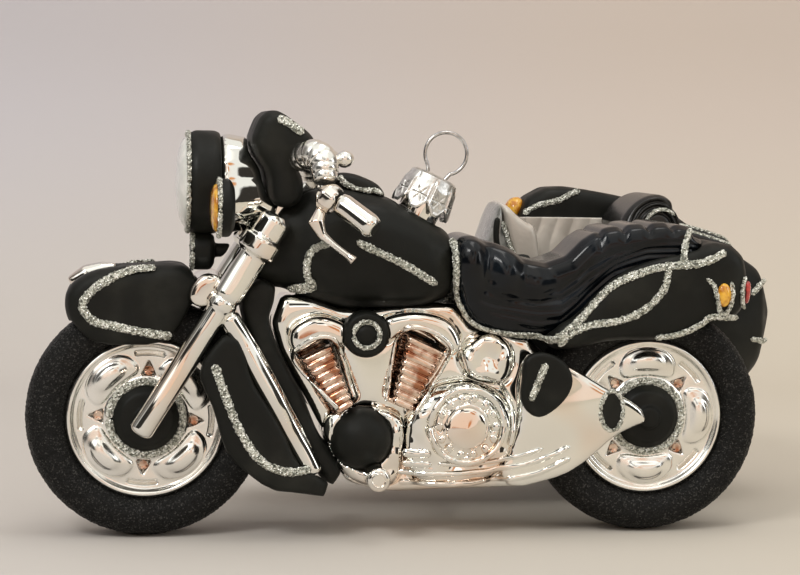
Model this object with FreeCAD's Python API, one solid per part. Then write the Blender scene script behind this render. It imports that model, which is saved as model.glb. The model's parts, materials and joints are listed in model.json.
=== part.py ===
import FreeCAD, Part
import math
import os

# Hanging ornament in the form of a touring motorcycle with a sidecar, in millimetres.
# +X points to the front, +Y to the motorcycle's left, +Z up, and the floor is Z 0.
# Outlines are first drawn about the middle of the wheelbase and the floor,
# and every piece is shifted at the end so that the origin is under the middle of the box.

vector = FreeCAD.Vector

# Wheels
wheelbase = 102.4
tyre_radius = 24.0
tyre_half_width = 6.5
disc_radius = 16.0
disc_lip_half_width = 5.0
disc_web_half_width = 3.9
hub_radius = 6.6
hub_half_width = 6.4
axle_stub_radius = 2.2
oval_long, oval_wide, oval_high = 3.6, 2.5, 5.3
oval_place_radius = 11.2
dimple_length, dimple_narrow, dimple_wide, dimple_depth = 4.4, 1.3, 2.3, 1.1
sidecar_tyre_half_width = 4.6
sidecar_hub_half_width = 5.0
sidecar_disc_scale = 0.78
wheel_arch_gap, arch_side_gap = 0.5, 0.4

# Fit between pieces that touch
seat_gap = 0.12

# Middle planes
bike_y = 19.0
sidecar_y = -17.5
sidecar_wheel_y = -37.4
sidecar_wheel_x = -57.0

# Fork
fork_rake = 32.0
fork_spread = 10.4
slider_radius = 2.2
slider_length = 26.3
collar_radius = 2.7
cover_radius = 2.85
cover_length = 9.5
clamp_radius = 3.9
upper_leg_radius = 3.0
fork_length = 48.0
steering_head_radius = 4.2
yoke_rise, yoke_long, yoke_thick, yoke_head_length = 5.4, 5.4, 3.0, 11.0

# Front lights
headlight_x, headlight_z = 36.8, 71.0
headlight_radius = 10.3
headlight_depth = 6.6
lens_radius = 8.5
passing_lamp_radius = 5.6
passing_lamp_depth = 2.3
passing_lamp_tail = 0.9
passing_lamp_front = 37.9
passing_bar_radius = 1.0
passing_lamp_spread = 15.8
passing_lamp_z = 66.5
lower_lamp_front, lower_lamp_back = 42.4, 37.9
lower_lamp_radius = 3.9
lower_lamp_z = 57.4
lower_stalk_radius = 1.3

# Handlebar
grip_radius = 2.35
grip_end_radius = 1.9
lever_radius = 0.6
knob_radius, knob_stalk_radius, knob_stalk_length = 1.7, 0.8, 5.0
arch_radii = [1.8, 2.3, 2.6, 2.7, 2.5, 2.0]
housing_radii = [2.2, 3.0, 3.0, 2.6]
lever_radii = [1.1, 1.7, lever_radius + 0.3, lever_radius, lever_radius, 0.9]

# Half widths of the moulded forms
tank_half_width = 12.5
cowl_half_width = 11.5
front_fender_half_width = 8.7
seat_half_width = 10.2
saddlebag_half_width = 12.6
body_half_width = 6.6
crankcase_half_width = 9.4
cylinder_half_width = 10.2
front_barrel_halves = (4.2, 2.8)
rear_barrel_halves = (4.5, 2.7)
barrel_squareness = 4.0
fin_count = 9
fin_depth = 0.8
primary_half_width = 10.8
frame_tube_half_width = 8.6
oil_tank_half_width = 9.6
guard_middle, guard_half_width = 10.6, 1.9
side_cover_middle, side_cover_half_width = 11.6, 1.3

# Round pieces on the flanks
ball_x, ball_z, ball_off, ball_radius = 8.4, 20.2, 6.6, 6.4
peg_x, peg_z, peg_radius, peg_length = 5.8, 13.2, 2.4, 7.0
round_x, round_z, round_radius = 8.0, 41.4, 4.6
derby_x, derby_z, derby_ring_radius = -12.2, 22.8, 5.4
amber_x, amber_z = -64.4, 49.8
tail_lamp_x, tail_lamp_z = -70.0, 50.0
arm_half_width = 1.5
arm_middle = tyre_half_width + 0.8 + arm_half_width

# Hanger neck, cap and wire
neck_x, neck_z = -2.6, 63.6
neck_lean = 25.0
neck_outer_radius = 4.3
neck_inner_radius = 3.4
neck_height = 9.0
bore_depth = 25.0
cap_inner_radius = 4.6
cap_wall = 0.5
cap_height = 8.0
cap_above_tank = 2.3
petal_count = 8
petal_flare = 0.7
wire_radius = 0.4
wire_spread = 1.9
wire_leg_length = 15.0
ring_radius = 4.3
ring_height = 6.2
wire_clearance = 0.25

# Sidecar
hull_half_width = 13.2
hull_wall = 2.2
cockpit_front, cockpit_back = -31.5, -55.5
cockpit_floor = 26.0
fender_half_width = 6.2
strut_radius, strut_reach = 1.5, 30.0
strut_places = [(18.0, 34.0), (-16.0, 15.0), (-16.5, 36.0)]
sidecar_lamp_foot = vector(-35.0, sidecar_wheel_y, 64.0)
sidecar_lamp_axis = (math.cos(0.5), 0, math.sin(0.5))
rack_pitch = 4.4
rack_crown = 0.0042
rack_radius = 0.8
rack_side = [(-67.6, 61.1), (-70.0, 60.6), (-75.0, 59.2), (-79.0, 57.9)]

front_x = wheelbase / 2
rear_x = -wheelbase / 2
nose_x = front_x + tyre_radius
tail_x = -90.6
grip_tip_y = bike_y + 24.2
right_edge_y = sidecar_wheel_y - fender_half_width
origin_shift = vector(-(nose_x + tail_x) / 2, -(grip_tip_y + right_edge_y) / 2, 0)

parts = {}


def sampled(outline, count):
    """Evenly spaced points on the smooth closed curve through an outline's points."""
    curve = Part.BSplineCurve()
    curve.interpolate(Points=[vector(x, 0, z) for x, z in outline], PeriodicFlag=True)
    spots = [curve.value(curve.parameterAtDistance(curve.length() * i / count)) for i in range(count)]
    return [(spot.x, spot.z) for spot in spots]


def outline_frame(points):
    """Outward mitre of a closed outline at each of its points, and how far it may be drawn in there."""
    count = len(points)
    area = sum(points[i - 1][0] * points[i][1] - points[i][0] * points[i - 1][1] for i in range(count))
    turn = 1.0 if area > 0 else -1.0
    mitres, bends = [], []
    for i in range(count):
        (ax, az), (bx, bz), (cx, cz) = points[i - 1], points[i], points[(i + 1) % count]
        before, after = math.hypot(bx - ax, bz - az), math.hypot(cx - bx, cz - bz)
        chord = math.hypot(cx - ax, cz - az)
        first = (turn * (bz - az) / before, -turn * (bx - ax) / before)
        second = (turn * (cz - bz) / after, -turn * (cx - bx) / after)
        spread = 1 + first[0] * second[0] + first[1] * second[1]
        mitres.append(((first[0] + second[0]) / spread, (first[1] + second[1]) / spread))
        cross = turn * ((bx - ax) * (cz - bz) - (bz - az) * (cx - bx))
        bends.append(chord * before * after / (2 * cross) if cross > 1e-6 else 1e6)
    room = [min(0.6 * bends[i], 0.8 * bends[i - 1], 0.8 * bends[(i + 1) % count]) for i in range(count)]
    return list(zip(mitres, room))


def moulded(outline, middle_y, half_width, rounding, grow=0.0, count=28):
    """Solid with a side outline and flanks that round over to it, as blown into a mould."""
    points = sampled(outline, count)
    frame = outline_frame(points)
    wires = []
    for side, angles in ((-1, (0, 40, 90)), (1, (90, 40, 0))):
        for angle in angles:
            turn = math.radians(angle)
            inset = rounding * (1 - math.sin(turn))
            y = middle_y + side * (half_width + grow - rounding * (1 - math.cos(turn)))
            ring = []
            for (x, z), (mitre, limit) in zip(points, frame):
                step = min(inset, limit) - grow
                ring.append(vector(x - mitre[0] * step, y, z - mitre[1] * step))
            wires.append(Part.makePolygon(ring + ring[:1]))
    return facing_out(Part.makeLoft(wires, True, True))


def lengthwise(sections, tip=None, tail=None, power=2.6, grow=0.0, count=16):
    """Solid through oval sections (x, middle y, half width, low z, high z) along X."""
    rings = []
    if tip:
        rings.append(Part.Vertex(tip[0] + grow, tip[1], tip[2]))
    for x, middle, half, low, high in sections:
        centre = vector(x, middle, (low + high) / 2)
        rings.append(ring_at(centre, vector(0, 1, 0), vector(0, 0, 1), half + grow, (high - low) / 2 + grow,
                             count, power))
    if tail:
        rings.append(Part.Vertex(tail[0] - grow, tail[1], tail[2]))
    return facing_out(Part.makeLoft(rings, True, True))


def facing_out(solid):
    """The same solid with its faces turned outward."""
    if solid.Volume < 0:
        solid.reverse()
    return solid


def bent_tube(points, radii, count=10):
    """Solid through round sections set square to a bent path."""
    rings = []
    for i, point in enumerate(points):
        before, after = points[max(i - 1, 0)], points[min(i + 1, len(points) - 1)]
        along = (after - before).normalize()
        first = vector(0, 1, 0) - along * along.y
        first.normalize()
        second = along.cross(first)
        ring = []
        for step in range(count):
            angle = 2 * math.pi * step / count
            ring.append(point + first * (radii[i] * math.cos(angle)) + second * (radii[i] * math.sin(angle)))
        rings.append(Part.makePolygon(ring + ring[:1]))
    return facing_out(Part.makeLoft(rings, True, True))


def turned(profile, origin, axis):
    """Solid turned about an axis from (radius, distance along the axis) points."""
    along = vector(axis).normalize()
    across = vector(0, 1, 0) if abs(along.y) < 0.9 else vector(1, 0, 0)
    corners = [origin + across * r + along * s for r, s in profile]
    face = Part.Face(Part.makePolygon(corners + [corners[0]]))
    return face.revolve(origin, along, 360)


def mirrored(shape):
    return shape.mirror(vector(0, bike_y, 0), vector(0, 1, 0))


def both_sides(shape):
    """A piece on the left and its mirror image on the right."""
    return Part.makeCompound([shape, mirrored(shape)])


def cut_by(shape, *others):
    for other in others:
        shape = shape.cut(other)
    return shape


def at(x, off, z):
    """Point at a distance to the left of the motorcycle's middle plane."""
    return vector(x, bike_y + off, z)


# Paths and places on the motorcycle's left

arch_path = [at(22.6, 9.0, 75.4), at(20.8, 11.8, 76.6), at(19.0, 13.6, 76.9), at(17.5, 15.0, 75.6),
             at(17.3, 16.2, 73.2), at(17.2, 17.0, 71.6)]
grip_path = [at(14.6, 18.2, 67.8), at(13.8, 18.8, 67.2), at(9.0, 22.0, 63.6), at(8.2, 22.5, 63.0)]
grip_inlet = at(15.4, 17.7, 68.5)
housing_path = [at(17.4, 16.6, 69.4), at(16.9, 17.4, 68.9), at(15.7, 18.0, 68.0), at(15.1, 18.3, 67.4)]
lever_path = [at(17.9, 17.8, 66.6), at(19.0, 18.8, 63.9), at(17.8, 19.5, 61.4), at(15.6, 20.4, 59.6),
              at(13.2, 21.2, 57.8), at(12.0, 21.6, 56.8)]
knob_middle = at(13.0, 14.0, 76.2)
front_tube_path = [at(35.2, 9.9, 44.6), at(30.8, 9.9, 37.2), at(26.8, 9.9, 30.0), at(22.4, 9.9, 21.8),
                   at(18.2, 9.9, 14.0)]
front_tube_radii = [1.6, 1.75, 1.75, 1.7, 1.4]
fender_tip_path = [at(57.4, 0, 53.7), at(60.0, 0, 53.2), at(63.0, 0, 52.2), at(66.2, 0, 50.6)]
fender_tip_radii = [1.0, 1.7, 2.1, 1.3]
front_barrel_top, front_barrel_foot = at(18.0, 0, 39.6), at(11.4, 0, 26.6)
rear_barrel_top, rear_barrel_foot = at(-4.4, 0, 40.4), at(1.2, 0, 28.0)


# Wheels

def tyre(x, y, half_width):
    """Tyre with flanks that bulge and a rounded tread."""
    inner, outer = disc_radius, tyre_radius
    half = [(inner, 0.78 * half_width), (inner + 1.6, 0.94 * half_width), (inner + 4.0, half_width),
            (outer - 2.4, 0.84 * half_width), (outer - 0.8, 0.52 * half_width), (outer, 0.16 * half_width)]
    profile = [(r, -s) for r, s in half] + [(r, s) for r, s in reversed(half)]
    return turned(profile, vector(x, y, tyre_radius), (0, 1, 0))


def rounded(value, power):
    """A cosine or sine bent so that an ellipse made with it grows squarer as the power grows."""
    return math.copysign(abs(value) ** (2 / power), value)


def ring_at(centre, first, second, half_first, half_second, corners=12, power=2.0):
    """Closed polygon of an ellipse about a centre, or of a squarer oval with a higher power."""
    points = []
    for corner in range(corners):
        turn = 2 * math.pi * corner / corners
        along_first = half_first * rounded(math.cos(turn), power)
        along_second = half_second * rounded(math.sin(turn), power)
        points.append(centre + first * along_first + second * along_second)
    return Part.makePolygon(points + points[:1])


def raised_oval(centre, radial, tangent, half_scale):
    """Oval button that stands out of both faces of a wheel disc."""
    rows = ((-1.0, 0.4), (-0.9, 0.75), (-0.7, 1.0), (0.7, 1.0), (0.9, 0.75), (1.0, 0.4))
    rings = [ring_at(centre + vector(0, oval_high * half_scale * height, 0), tangent, radial,
                     oval_long * size, oval_wide * size) for height, size in rows]
    return facing_out(Part.makeLoft(rings, True, True))


def dimple(centre, radial, tangent, side, surface):
    """Pocket with four sloping walls, wider towards the rim."""
    rings = []
    for height, size in ((surface + 0.3, 1.15), (surface - dimple_depth, 0.6)):
        middle = vector(centre.x, centre.y + side * height, centre.z)
        places = ((-0.5, -dimple_narrow), (-0.5, dimple_narrow), (0.5, dimple_wide), (0.5, -dimple_wide))
        corners = [middle + radial * (dimple_length * r * size) + tangent * (t * size) for r, t in places]
        rings.append(Part.makePolygon(corners + corners[:1]))
    return facing_out(Part.makeLoft(rings, True, True))


def wheel_disc(x, y, half_scale, first_oval):
    """Glass disc with a rolled lip, four raised ovals and a dimple between each pair."""
    rim = disc_radius - seat_gap
    bore = hub_radius + seat_gap
    lip, web = disc_lip_half_width * half_scale, disc_web_half_width * half_scale
    half = [(bore, web + 0.7), (hub_radius + 1.6, web + 0.7), (hub_radius + 2.6, web),
            (rim - 3.0, web), (rim - 1.8, lip), (rim - 0.6, lip), (rim, lip - 0.7)]
    profile = [(r, -s) for r, s in half] + [(r, s) for r, s in reversed(half)]
    disc = turned(profile, vector(x, y, tyre_radius), (0, 1, 0))
    for number in range(8):
        angle = math.radians(first_oval + 45 * number)
        radial = vector(math.cos(angle), 0, math.sin(angle))
        tangent = vector(-math.sin(angle), 0, math.cos(angle))
        centre = vector(x, y, tyre_radius) + radial * oval_place_radius
        if number % 2 == 0:
            disc = disc.fuse(raised_oval(centre, radial, tangent, half_scale))
        else:
            disc = cut_by(disc, *(dimple(centre, radial, tangent, side, web) for side in (1, -1)))
    return disc


def hub(x, y, half, stub_left, stub_right):
    """Dark hub with domed faces and an axle stub to each side's carrier."""
    profile = [(0, -stub_right), (axle_stub_radius, -stub_right), (axle_stub_radius, -half),
               (hub_radius - 1.4, -half + 0.3), (hub_radius, -half + 1.8), (hub_radius, half - 1.8),
               (hub_radius - 1.4, half - 0.3), (axle_stub_radius, half), (axle_stub_radius, stub_left),
               (0, stub_left)]
    return turned(profile, vector(x, y, tyre_radius), (0, 1, 0))


def wheel_room(x, y, half_width):
    """Space that a wheel takes inside a fender."""
    return Part.makeCylinder(tyre_radius + wheel_arch_gap, 2 * half_width,
                             vector(x, y - half_width, tyre_radius), vector(0, 1, 0))


# Fork and front end

fork_axis = vector(-math.sin(math.radians(fork_rake)), 0, math.cos(math.radians(fork_rake)))


def fork_leg(side, grow=0.0):
    """Leg with a round lower end, collar, wide cover, clamp ring and upper tube."""
    cover_start = slider_length + 3.2
    cover_end = cover_start + cover_length
    profile = [(0, -2.5 - grow), (slider_radius - 0.6, -2.5 - grow), (slider_radius + grow, -1.9),
               (slider_radius + grow, slider_length),
               (collar_radius + grow, slider_length + 0.4), (collar_radius + grow, slider_length + 2.0),
               (slider_radius + grow, slider_length + 2.3), (cover_radius + grow, cover_start),
               (cover_radius + grow, cover_end), (clamp_radius + grow, cover_end + 0.8 - grow),
               (clamp_radius + grow, cover_end + 3.6 + grow),
               (upper_leg_radius + grow, cover_end + 4.0 + grow),
               (upper_leg_radius + grow, fork_length - 1.0), (upper_leg_radius - 1.0, fork_length + grow),
               (0, fork_length + grow)]
    return turned(profile, vector(front_x, bike_y + side * fork_spread, tyre_radius), fork_axis)


def fork_yoke(grow=0.0):
    """Crossbar that holds both legs, with the steering head behind it."""
    start = at(front_x, 0, tyre_radius) + fork_axis * (slider_length + cover_length + yoke_rise)
    long, thick = yoke_long + 2 * grow, yoke_thick + 2 * grow
    bar = Part.makeBox(long, 2 * fork_spread, thick)
    bar = bar.makeFillet(1.2, bar.Edges[:12])
    bar.translate(vector(-long / 2, -fork_spread, -thick / 2))
    bar.rotate(vector(0, 0, 0), vector(0, 1, 0), -fork_rake)
    bar.translate(start)
    head = Part.makeCylinder(steering_head_radius + grow, yoke_head_length + 2 * grow,
                             start - fork_axis * (1.0 + grow), fork_axis)
    return bar.fuse(head)


def fork_brace():
    """Bridge between the legs that holds the rear end of the fender."""
    return moulded(brace_outline, bike_y, fork_spread, 0.8, count=16)


def headlight_shell(grow=0.0):
    radius, depth = headlight_radius + grow, headlight_depth
    inner = lens_radius + seat_gap
    profile = [(0, -grow), (radius - 0.5, -grow), (radius, 1.2), (radius, depth - 1.6),
               (radius - 0.7, depth - 0.3), (inner + 0.3, depth), (inner, depth - 0.4), (inner, depth - 2.4),
               (0, depth - 2.4)]
    return turned(profile, at(headlight_x, 0, headlight_z), (1, 0, 0))


def headlight_lens():
    base = headlight_depth - 2.4 + seat_gap
    rows = [(lens_radius, base), (lens_radius, headlight_depth - 0.5)]
    for step in range(1, 6):
        angle = math.radians(90 * step / 5)
        rows.append((lens_radius * math.cos(angle), headlight_depth - 0.5 + 1.9 * math.sin(angle)))
    rows[-1] = (0, headlight_depth + 1.4)
    return turned([(0, base)] + rows, at(headlight_x, 0, headlight_z), (1, 0, 0))


def nacelle(grow=0.0):
    """Housing between the headlight and the cowl."""
    low, high = headlight_z - 9.0, headlight_z + 9.0
    sections = [(headlight_x - seat_gap, bike_y, 9.6, headlight_z - 9.6, headlight_z + 9.8),
                (headlight_x - 3.0, bike_y, 8.9, low, high + 0.4),
                (headlight_x - 7.0, bike_y, 7.4, low + 0.6, high - 0.4),
                (headlight_x - 10.0, bike_y, 6.6, low + 2.0, high - 1.2)]
    return lengthwise(sections, power=2.2, grow=grow)


def lamp_body(front, off, z, radius, depth, tail):
    """Round lamp body that faces forward, with a back that rounds over."""
    profile = [(0, -depth - tail), (radius * 0.7, -depth - tail), (radius, -depth), (radius, -0.6),
               (radius - 0.5, 0), (0, 0)]
    return turned(profile, at(front, off, z), (1, 0, 0))


def passing_lamp(off):
    """Lamp body with the bar that carries it from the headlight's housing."""
    body = lamp_body(passing_lamp_front, off, passing_lamp_z, passing_lamp_radius, passing_lamp_depth,
                     passing_lamp_tail)
    bar_start = at(passing_lamp_front - passing_lamp_depth / 2, off, passing_lamp_z)
    inward = vector(0, -math.copysign(1, off), 0)
    return body.fuse(Part.makeCylinder(passing_bar_radius, abs(off) - 4.0, bar_start, inward))


def lower_lamp():
    """Lamp under the headlight, on a stalk from the crossbar."""
    depth = lower_lamp_front - lower_lamp_back - 0.8
    body = lamp_body(lower_lamp_front, 0, lower_lamp_z, lower_lamp_radius, depth, 0.8)
    stalk_start = at(lower_lamp_back + 0.4, 0, lower_lamp_z)
    stalk = Part.makeCylinder(lower_stalk_radius, 8.0, stalk_start, vector(-1, 0, 0))
    return body.fuse(stalk)


def lamp_lens(x, off, z, radius, rise):
    profile = [(0, 0), (radius, 0), (radius * 0.92, rise * 0.5), (radius * 0.6, rise * 0.85), (0, rise)]
    return turned(profile, at(x, off, z), (1, 0, 0))


# Outlines in the side view, as (x, z)

cowl_outline = [(31.6, 78.8), (30.2, 82.3), (28.4, 85.1), (26.2, 85.4), (23.6, 83.9), (19.9, 81.2),
                (18.5, 79.2), (20.8, 77.4), (22.6, 75.4), (21.4, 73.0), (20.8, 70.2), (21.8, 67.2),
                (25.0, 66.4), (27.9, 67.6), (28.6, 70.4), (29.4, 74.2)]
front_fender_outline = [(67.2, 46.4), (66.4, 50.2), (62.6, 53.0), (56.6, 54.2), (49.0, 54.6),
                        (43.8, 54.4), (41.5, 51.6), (41.7, 47.6), (43.6, 43.2), (47.2, 39.2),
                        (54.6, 38.4), (61.8, 39.0), (65.8, 42.4)]
brace_outline = [(43.0, 48.4), (42.4, 51.0), (39.0, 53.2), (35.8, 51.4), (36.0, 48.6), (38.8, 46.8)]
down_tube_outline = [(31.6, 50.4), (27.6, 52.0), (25.4, 49.4), (27.0, 46.4), (26.8, 42.0), (24.6, 36.6),
                     (20.4, 29.0), (15.4, 18.6), (12.4, 12.4), (14.0, 10.6), (16.6, 12.4), (19.6, 19.0),
                     (24.6, 28.4), (29.0, 36.0), (31.6, 43.0)]
leg_guard_outline = [(36.2, 41.4), (39.3, 37.8), (41.0, 33.6), (38.9, 28.6), (37.0, 22.6), (35.0, 17.4),
                     (30.9, 13.6), (26.4, 10.6), (20.0, 9.8), (15.2, 9.8), (15.4, 12.0), (19.8, 14.2),
                     (23.2, 19.4), (27.8, 27.6), (31.8, 35.6), (33.4, 40.6)]
body_outline = [(24.4, 48.6), (26.2, 45.6), (26.0, 41.8), (23.8, 36.2), (19.6, 28.6), (14.6, 18.2),
                (12.0, 12.2), (8.0, 10.0), (-6.0, 9.4), (-20.0, 9.6), (-28.0, 11.2), (-31.0, 17.0),
                (-30.0, 27.0), (-29.0, 36.0), (-26.0, 40.6), (-19.6, 41.2), (-13.8, 42.8),
                (-10.6, 47.0), (-6.0, 47.0), (6.0, 46.2), (16.0, 47.0)]
seat_outline = [(-11.2, 60.2), (-14.8, 60.6), (-19.4, 59.2), (-23.4, 56.8), (-27.4, 55.6),
                (-31.4, 56.4), (-34.6, 58.6), (-37.0, 61.4), (-41.0, 63.0), (-48.0, 63.8),
                (-56.4, 63.8), (-60.6, 61.4), (-61.3, 58.0), (-57.0, 55.4), (-49.0, 54.2),
                (-42.4, 51.2), (-36.4, 45.6), (-31.6, 41.6), (-25.6, 40.9), (-19.0, 41.6),
                (-14.2, 43.4), (-11.4, 47.4), (-10.4, 54.0)]
saddlebag_outline = [(-28.4, 40.9), (-28.8, 38.9), (-31.4, 38.3), (-36.0, 39.0), (-42.0, 40.2),
                     (-50.0, 40.4), (-57.6, 41.4), (-63.4, 44.0), (-67.6, 44.4), (-69.6, 48.0),
                     (-70.0, 53.0), (-69.2, 57.4), (-65.8, 60.1), (-61.4, 59.8), (-55.0, 58.4),
                     (-46.0, 56.0), (-39.0, 51.2), (-33.0, 45.2)]
console_outline = [(13.4, 72.9), (10.4, 73.0), (7.4, 72.0), (4.6, 70.2), (3.8, 67.6), (7.0, 66.6),
                   (12.0, 68.6), (14.2, 70.8)]
swing_arm_outline = [(-26.0, 37.2), (-29.6, 36.6), (-36.0, 33.6), (-43.0, 29.6), (-49.2, 25.8),
                     (-50.2, 24.4), (-47.0, 22.6), (-43.4, 20.8), (-38.8, 16.8), (-33.6, 13.2),
                     (-27.0, 11.2), (-21.0, 11.0), (-19.6, 14.4), (-21.6, 19.4), (-23.6, 27.0),
                     (-24.0, 34.0)]
side_cover_outline = [(-24.6, 37.4), (-26.6, 38.0), (-33.0, 34.6), (-33.6, 32.6), (-29.6, 26.2),
                      (-26.6, 25.0), (-23.2, 28.6), (-23.4, 32.4)]
primary_outline = [(-2.6, 27.6), (-7.6, 30.6), (-13.0, 31.4), (-18.4, 30.0), (-21.6, 26.0),
                   (-22.4, 20.0), (-20.6, 14.6), (-14.6, 11.4), (-6.0, 10.8), (-1.6, 13.4),
                   (-0.6, 20.0)]
crankcase_outline = [(11.4, 13.0), (15.0, 19.0), (15.4, 24.2), (11.0, 26.4), (4.0, 26.0), (0.6, 24.4),
                     (0.2, 17.0), (1.4, 11.4), (6.0, 10.4)]
front_rocker_outline = [(22.4, 38.6), (22.4, 42.4), (18.6, 44.6), (13.4, 43.8), (10.6, 41.2),
                        (12.4, 39.4), (17.0, 40.4)]
rear_rocker_outline = [(5.2, 40.4), (5.6, 43.2), (1.0, 45.4), (-5.6, 45.2), (-10.4, 42.0),
                       (-10.8, 37.8), (-8.6, 38.4), (-5.0, 41.2), (1.0, 42.0)]
oil_tank_outline = [(-13.2, 39.8), (-21.0, 39.2), (-22.0, 35.4), (-21.0, 32.4), (-14.0, 32.6),
                    (-12.0, 35.6)]


def tank(grow=0.0):
    """Fuel tank, highest at the steering head and falling to the seat."""
    sections = [(-9.4, bike_y, 8.6, 48.2, 61.4),
                (-4.0, bike_y, 11.0, 46.2, 65.0),
                (4.0, bike_y, tank_half_width, 45.8, 68.8),
                (12.0, bike_y, tank_half_width, 45.8, 70.6),
                (19.0, bike_y, 11.4, 47.6, 70.2),
                (24.0, bike_y, 8.8, 50.0, 68.0),
                (29.6, bike_y, 6.4, 50.4, 60.4)]
    return lengthwise(sections, tip=None, power=2.5, grow=grow)


def seat(grow=0.0):
    return moulded(seat_outline, bike_y, seat_half_width, 3.0, grow)


def saddlebags(grow=0.0):
    return moulded(saddlebag_outline, bike_y, saddlebag_half_width, 3.2, grow)


def barrel_rings(top, bottom, rows, corners=20):
    """Solid through oval rings, each at a distance down the axis with a radius and a wider half width."""
    along = (bottom - top).normalize()
    across = vector(0, 1, 0).cross(along)
    rings = [ring_at(top + along * down, across, vector(0, 1, 0), radius, wide, corners, barrel_squareness)
             for down, radius, wide in rows]
    return facing_out(Part.makeLoft(rings, True, True))


def finned_cylinder(top, bottom, top_half, bottom_half):
    """Barrel with cooling fins, oval across the motorcycle."""
    pitch = (bottom - top).Length / fin_count
    rows = []
    for fin in range(fin_count):
        radius = top_half + (bottom_half - top_half) * fin / (fin_count - 1)
        wide = radius * cylinder_half_width / top_half
        rows += [(fin * pitch, radius, wide), ((fin + 0.5) * pitch, radius, wide),
                 ((fin + 0.62) * pitch, radius - fin_depth, wide - fin_depth),
                 ((fin + 0.9) * pitch, radius - fin_depth, wide - fin_depth)]
    return barrel_rings(top, bottom, rows)


def plain_cylinder(top, bottom, top_half, bottom_half):
    """Room for a barrel in the frame."""
    start, end = -seat_gap, (bottom - top).Length + seat_gap
    wide = cylinder_half_width / top_half
    rows = [(start, top_half + seat_gap, cylinder_half_width + 1.0),
            (end, bottom_half + 3 * seat_gap, bottom_half * wide + 1.0)]
    return barrel_rings(top, bottom, rows)


# Hanger neck, cap and wire

neck_axis = vector(-math.sin(math.radians(neck_lean)), 0, math.cos(math.radians(neck_lean)))
neck_across = vector(math.cos(math.radians(neck_lean)), 0, math.sin(math.radians(neck_lean)))
neck_base = at(neck_x, 0, neck_z)


def along_neck(distance, across=0.0):
    return neck_base + neck_axis * distance + neck_across * across


def neck():
    outer = Part.makeCylinder(neck_outer_radius, neck_height + 6.0, along_neck(-6.0), neck_axis)
    return outer.cut(Part.makeCylinder(neck_inner_radius, neck_height + 8.0, along_neck(-7.0), neck_axis))


def neck_bore(radius):
    return Part.makeCylinder(radius, bore_depth + 12.0, along_neck(-bore_depth), neck_axis)


def cap():
    """Crown cap: flat top with two wire holes and a flared skirt of petals."""
    skirt = cap_height
    inner, outer = cap_inner_radius, cap_inner_radius + cap_wall
    start = cap_above_tank
    end = start + skirt
    profile = [(inner + petal_flare, start), (outer + petal_flare, start), (outer, end - 0.5),
               (outer - 0.4, end), (0, end), (0, end - cap_wall), (inner, end - cap_wall)]
    shell = turned(profile, neck_base, neck_axis)
    corners = [vector(0, -0.9, -0.5), vector(0, 0.9, -0.5), vector(0, 0, 2.6)]
    notch = Part.Face(Part.makePolygon(corners + corners[:1]))
    for number in range(petal_count):
        wedge = notch.extrude(vector(3.0, 0, 0))
        wedge.translate(vector(inner - 0.6, 0, 0))
        wedge.rotate(vector(0, 0, 0), vector(0, 0, 1), (number + 0.5) * 360 / petal_count)
        wedge.rotate(vector(0, 0, 0), vector(0, 1, 0), -neck_lean)
        wedge.translate(along_neck(start))
        shell = shell.cut(wedge)
    for side in (-1, 1):
        foot = along_neck(end - 2.0, side * wire_spread)
        shell = shell.cut(Part.makeCylinder(wire_radius + wire_clearance, 3.0, foot, neck_axis))
    return shell


def hanger():
    """Wire hanger: a round loop above the cap and two straight legs through it."""
    top = cap_above_tank + cap_height
    low = top - wire_leg_length
    centre = along_neck(top + ring_height)
    half_gap = math.degrees(math.asin(wire_spread / ring_radius))
    knee = top + ring_height - math.cos(math.radians(half_gap)) * ring_radius
    section = Part.Face(Part.Wire([Part.Circle(along_neck(knee, -wire_spread), neck_loop_tangent(half_gap),
                                               wire_radius).toShape()]))
    wire = section.revolve(centre, vector(0, 1, 0), 360 - 2 * half_gap)
    for side in (-1, 1):
        leg = Part.makeCylinder(wire_radius, knee - low, along_neck(low, side * wire_spread), neck_axis)
        wire = wire.fuse(leg).fuse(Part.makeSphere(wire_radius, along_neck(knee, side * wire_spread)))
    return wire.removeSplitter()


def neck_loop_tangent(angle):
    turn = math.radians(angle)
    return neck_across * -math.cos(turn) + neck_axis * math.sin(turn)


# Sidecar

def sidecar_hull(grow=0.0):
    sections = [(22.0, sidecar_y + 0.6, 7.0, 26.0, 43.0),
                (14.0, sidecar_y + 0.3, 10.2, 20.0, 48.6),
                (0.0, sidecar_y, 12.4, 14.6, 53.0),
                (-16.0, sidecar_y, hull_half_width, 11.8, 56.0),
                (-32.0, sidecar_y, hull_half_width, 10.6, 59.4),
                (-52.0, sidecar_y, hull_half_width, 10.6, 61.4),
                (-66.0, sidecar_y, 12.8, 14.0, 60.4),
                (-79.0, sidecar_y, 11.0, 21.0, 57.2),
                (-86.6, sidecar_y, 7.6, 29.6, 52.4)]
    return lengthwise(sections, tip=(27.0, sidecar_y + 0.8, 35.0), tail=(tail_x, sidecar_y, 42.0), power=3.0,
                      grow=grow)


def cockpit():
    """Room of the cockpit, open at the top, with a rounded plan."""
    half = hull_half_width - hull_wall
    length = cockpit_front - cockpit_back
    box = Part.makeBox(length, 2 * half, 60.0, vector(cockpit_back, sidecar_y - half, cockpit_floor))
    upright = [e for e in box.Edges if abs(e.tangentAt(e.FirstParameter).z) > 0.9]
    return box.makeFillet(5.0, upright)


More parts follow.
